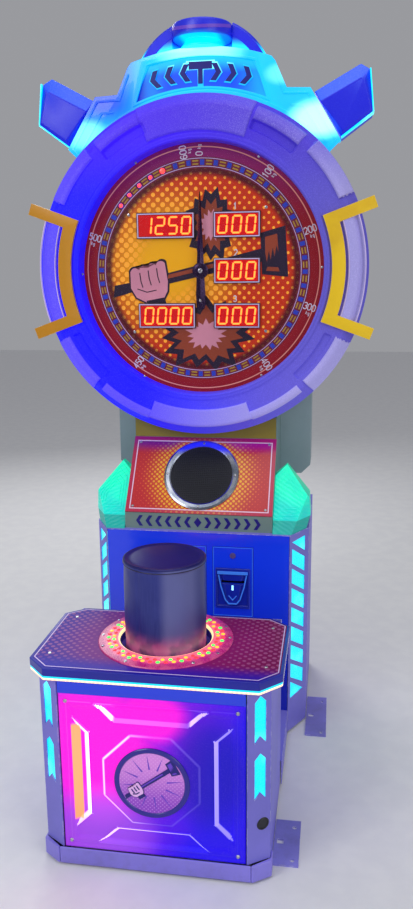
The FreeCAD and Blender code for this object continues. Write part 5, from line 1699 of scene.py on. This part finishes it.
def make_emblem():
    """The round badge: a mallet held in a gloved hand, over two tones of lilac."""
    low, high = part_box("front_emblem")
    x, z = centre("front_emblem").xz
    radius, front = (high.x - low.x) / 2, low.y
    profile = [(0, front + 0.0008), (radius - 0.012, front + 0.0008), (radius - 0.0105, front - 0.0010),
               (radius - 0.002, front - 0.0010), (radius, front + 0.0006), (radius, high.y), (0, high.y)]
    verts, faces = closed_lathe(profile, 120, "Y", (x, 0, z))
    disc = piece("emblem_disc", verts, faces, "emblem", "emblem_print")
    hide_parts("front_emblem")
    layers = {key: Shape() for key in ("dark", "skin", "rust")}
    put = placing(x, z + 0.006, 24, 0.285)
    mallet(layers, put, front + 0.0001, front + 0.0012)
    fist(layers, put, front + 0.0001, front + 0.0012)
    rays = Shape()
    for i in range(12):
        degrees = 30 * i + 8
        a, b = polar(radius * 0.40, degrees - 3.2, (x, z)), polar(radius * 0.40, degrees + 3.2, (x, z))
        tip = polar(radius * 0.83, degrees, (x, z))
        rays.prism([a, tip, b], front + 0.0005, front + 0.0012)
    rays.build("emblem_rays", "badge_violet", "emblem_print")
    for key, name in (("dark", "navy"), ("skin", "badge_pale"), ("rust", "badge_violet")):
        layers[key].build(f"emblem_art_{key}", name, "emblem_print")


# ---------------------------------------------------------------- stage


def make_stage():
    """Pale floor, soft surroundings and studio lights."""
    shade = Shade("studio_floor")
    grain = shade.noise(14, 4)
    pale = shade.mix(grain.step(0.35, 0.7), (0.80, 0.80, 0.82), (0.84, 0.84, 0.85))
    shade.finish(pale, grain * 0.1 + 0.6)
    mesh = bpy.data.meshes.new("floor")
    corners = [(x * FLOOR_REACH, y * FLOOR_REACH, 0) for x, y in ((-1, -1), (1, -1), (1, 1), (-1, 1))]
    mesh.from_pydata(corners, [], [[0, 1, 2, 3]])
    floor = bpy.data.objects.new("floor", mesh)
    floor.data.materials.append(shade.material)
    bpy.context.scene.collection.objects.link(floor)
    world = bpy.data.worlds.new("studio")
    world.use_nodes = True
    sky = world.node_tree.nodes["Background"].inputs
    sky[0].default_value, sky[1].default_value = SKY_COLOUR, SKY_STRENGTH
    bpy.context.scene.world = world
    bpy.context.scene.view_settings.view_transform = "Standard"
    for name, spot, aim, power, wide in LIGHTS:
        light = bpy.data.lights.new(name, "AREA")
        light.energy = power
        light.size = wide
        lamp_object = bpy.data.objects.new(name, light)
        lamp_object.location = spot
        lamp_object.rotation_euler = (Vector(aim) - Vector(spot)).to_track_quat("-Z", "Y").to_euler()
        bpy.context.scene.collection.objects.link(lamp_object)


def make_camera():
    """The camera, where the photograph was taken from."""
    yaw, pitch, roll = (math.radians(turn) for turn in (CAMERA_YAW, CAMERA_PITCH, CAMERA_ROLL))
    forward = Vector((-math.sin(yaw) * math.cos(pitch), math.cos(yaw) * math.cos(pitch), -math.sin(pitch)))
    right = forward.cross(Vector((0, 0, 1))).normalized()
    up = right.cross(forward)
    across = right * math.cos(roll) + up * math.sin(roll)
    above = up * math.cos(roll) - right * math.sin(roll)
    camera = bpy.data.cameras.new("camera")
    camera.lens = CAMERA_LENS_MM
    camera.sensor_width = SENSOR_WIDTH_MM
    camera.sensor_fit = "AUTO"
    item = bpy.data.objects.new("camera", camera)
    matrix = Matrix((across, above, -forward)).transposed().to_4x4()
    matrix.translation = Vector(CAMERA_SPOT)
    item.matrix_world = matrix
    bpy.context.scene.collection.objects.link(item)
    bpy.context.scene.camera = item


make_camera()
make_head()
make_crown()
make_horns()
make_dome_details()
make_dial()
make_neck()
make_column()
make_table()
make_pad()
make_spring()
make_pedestal()
make_stage()
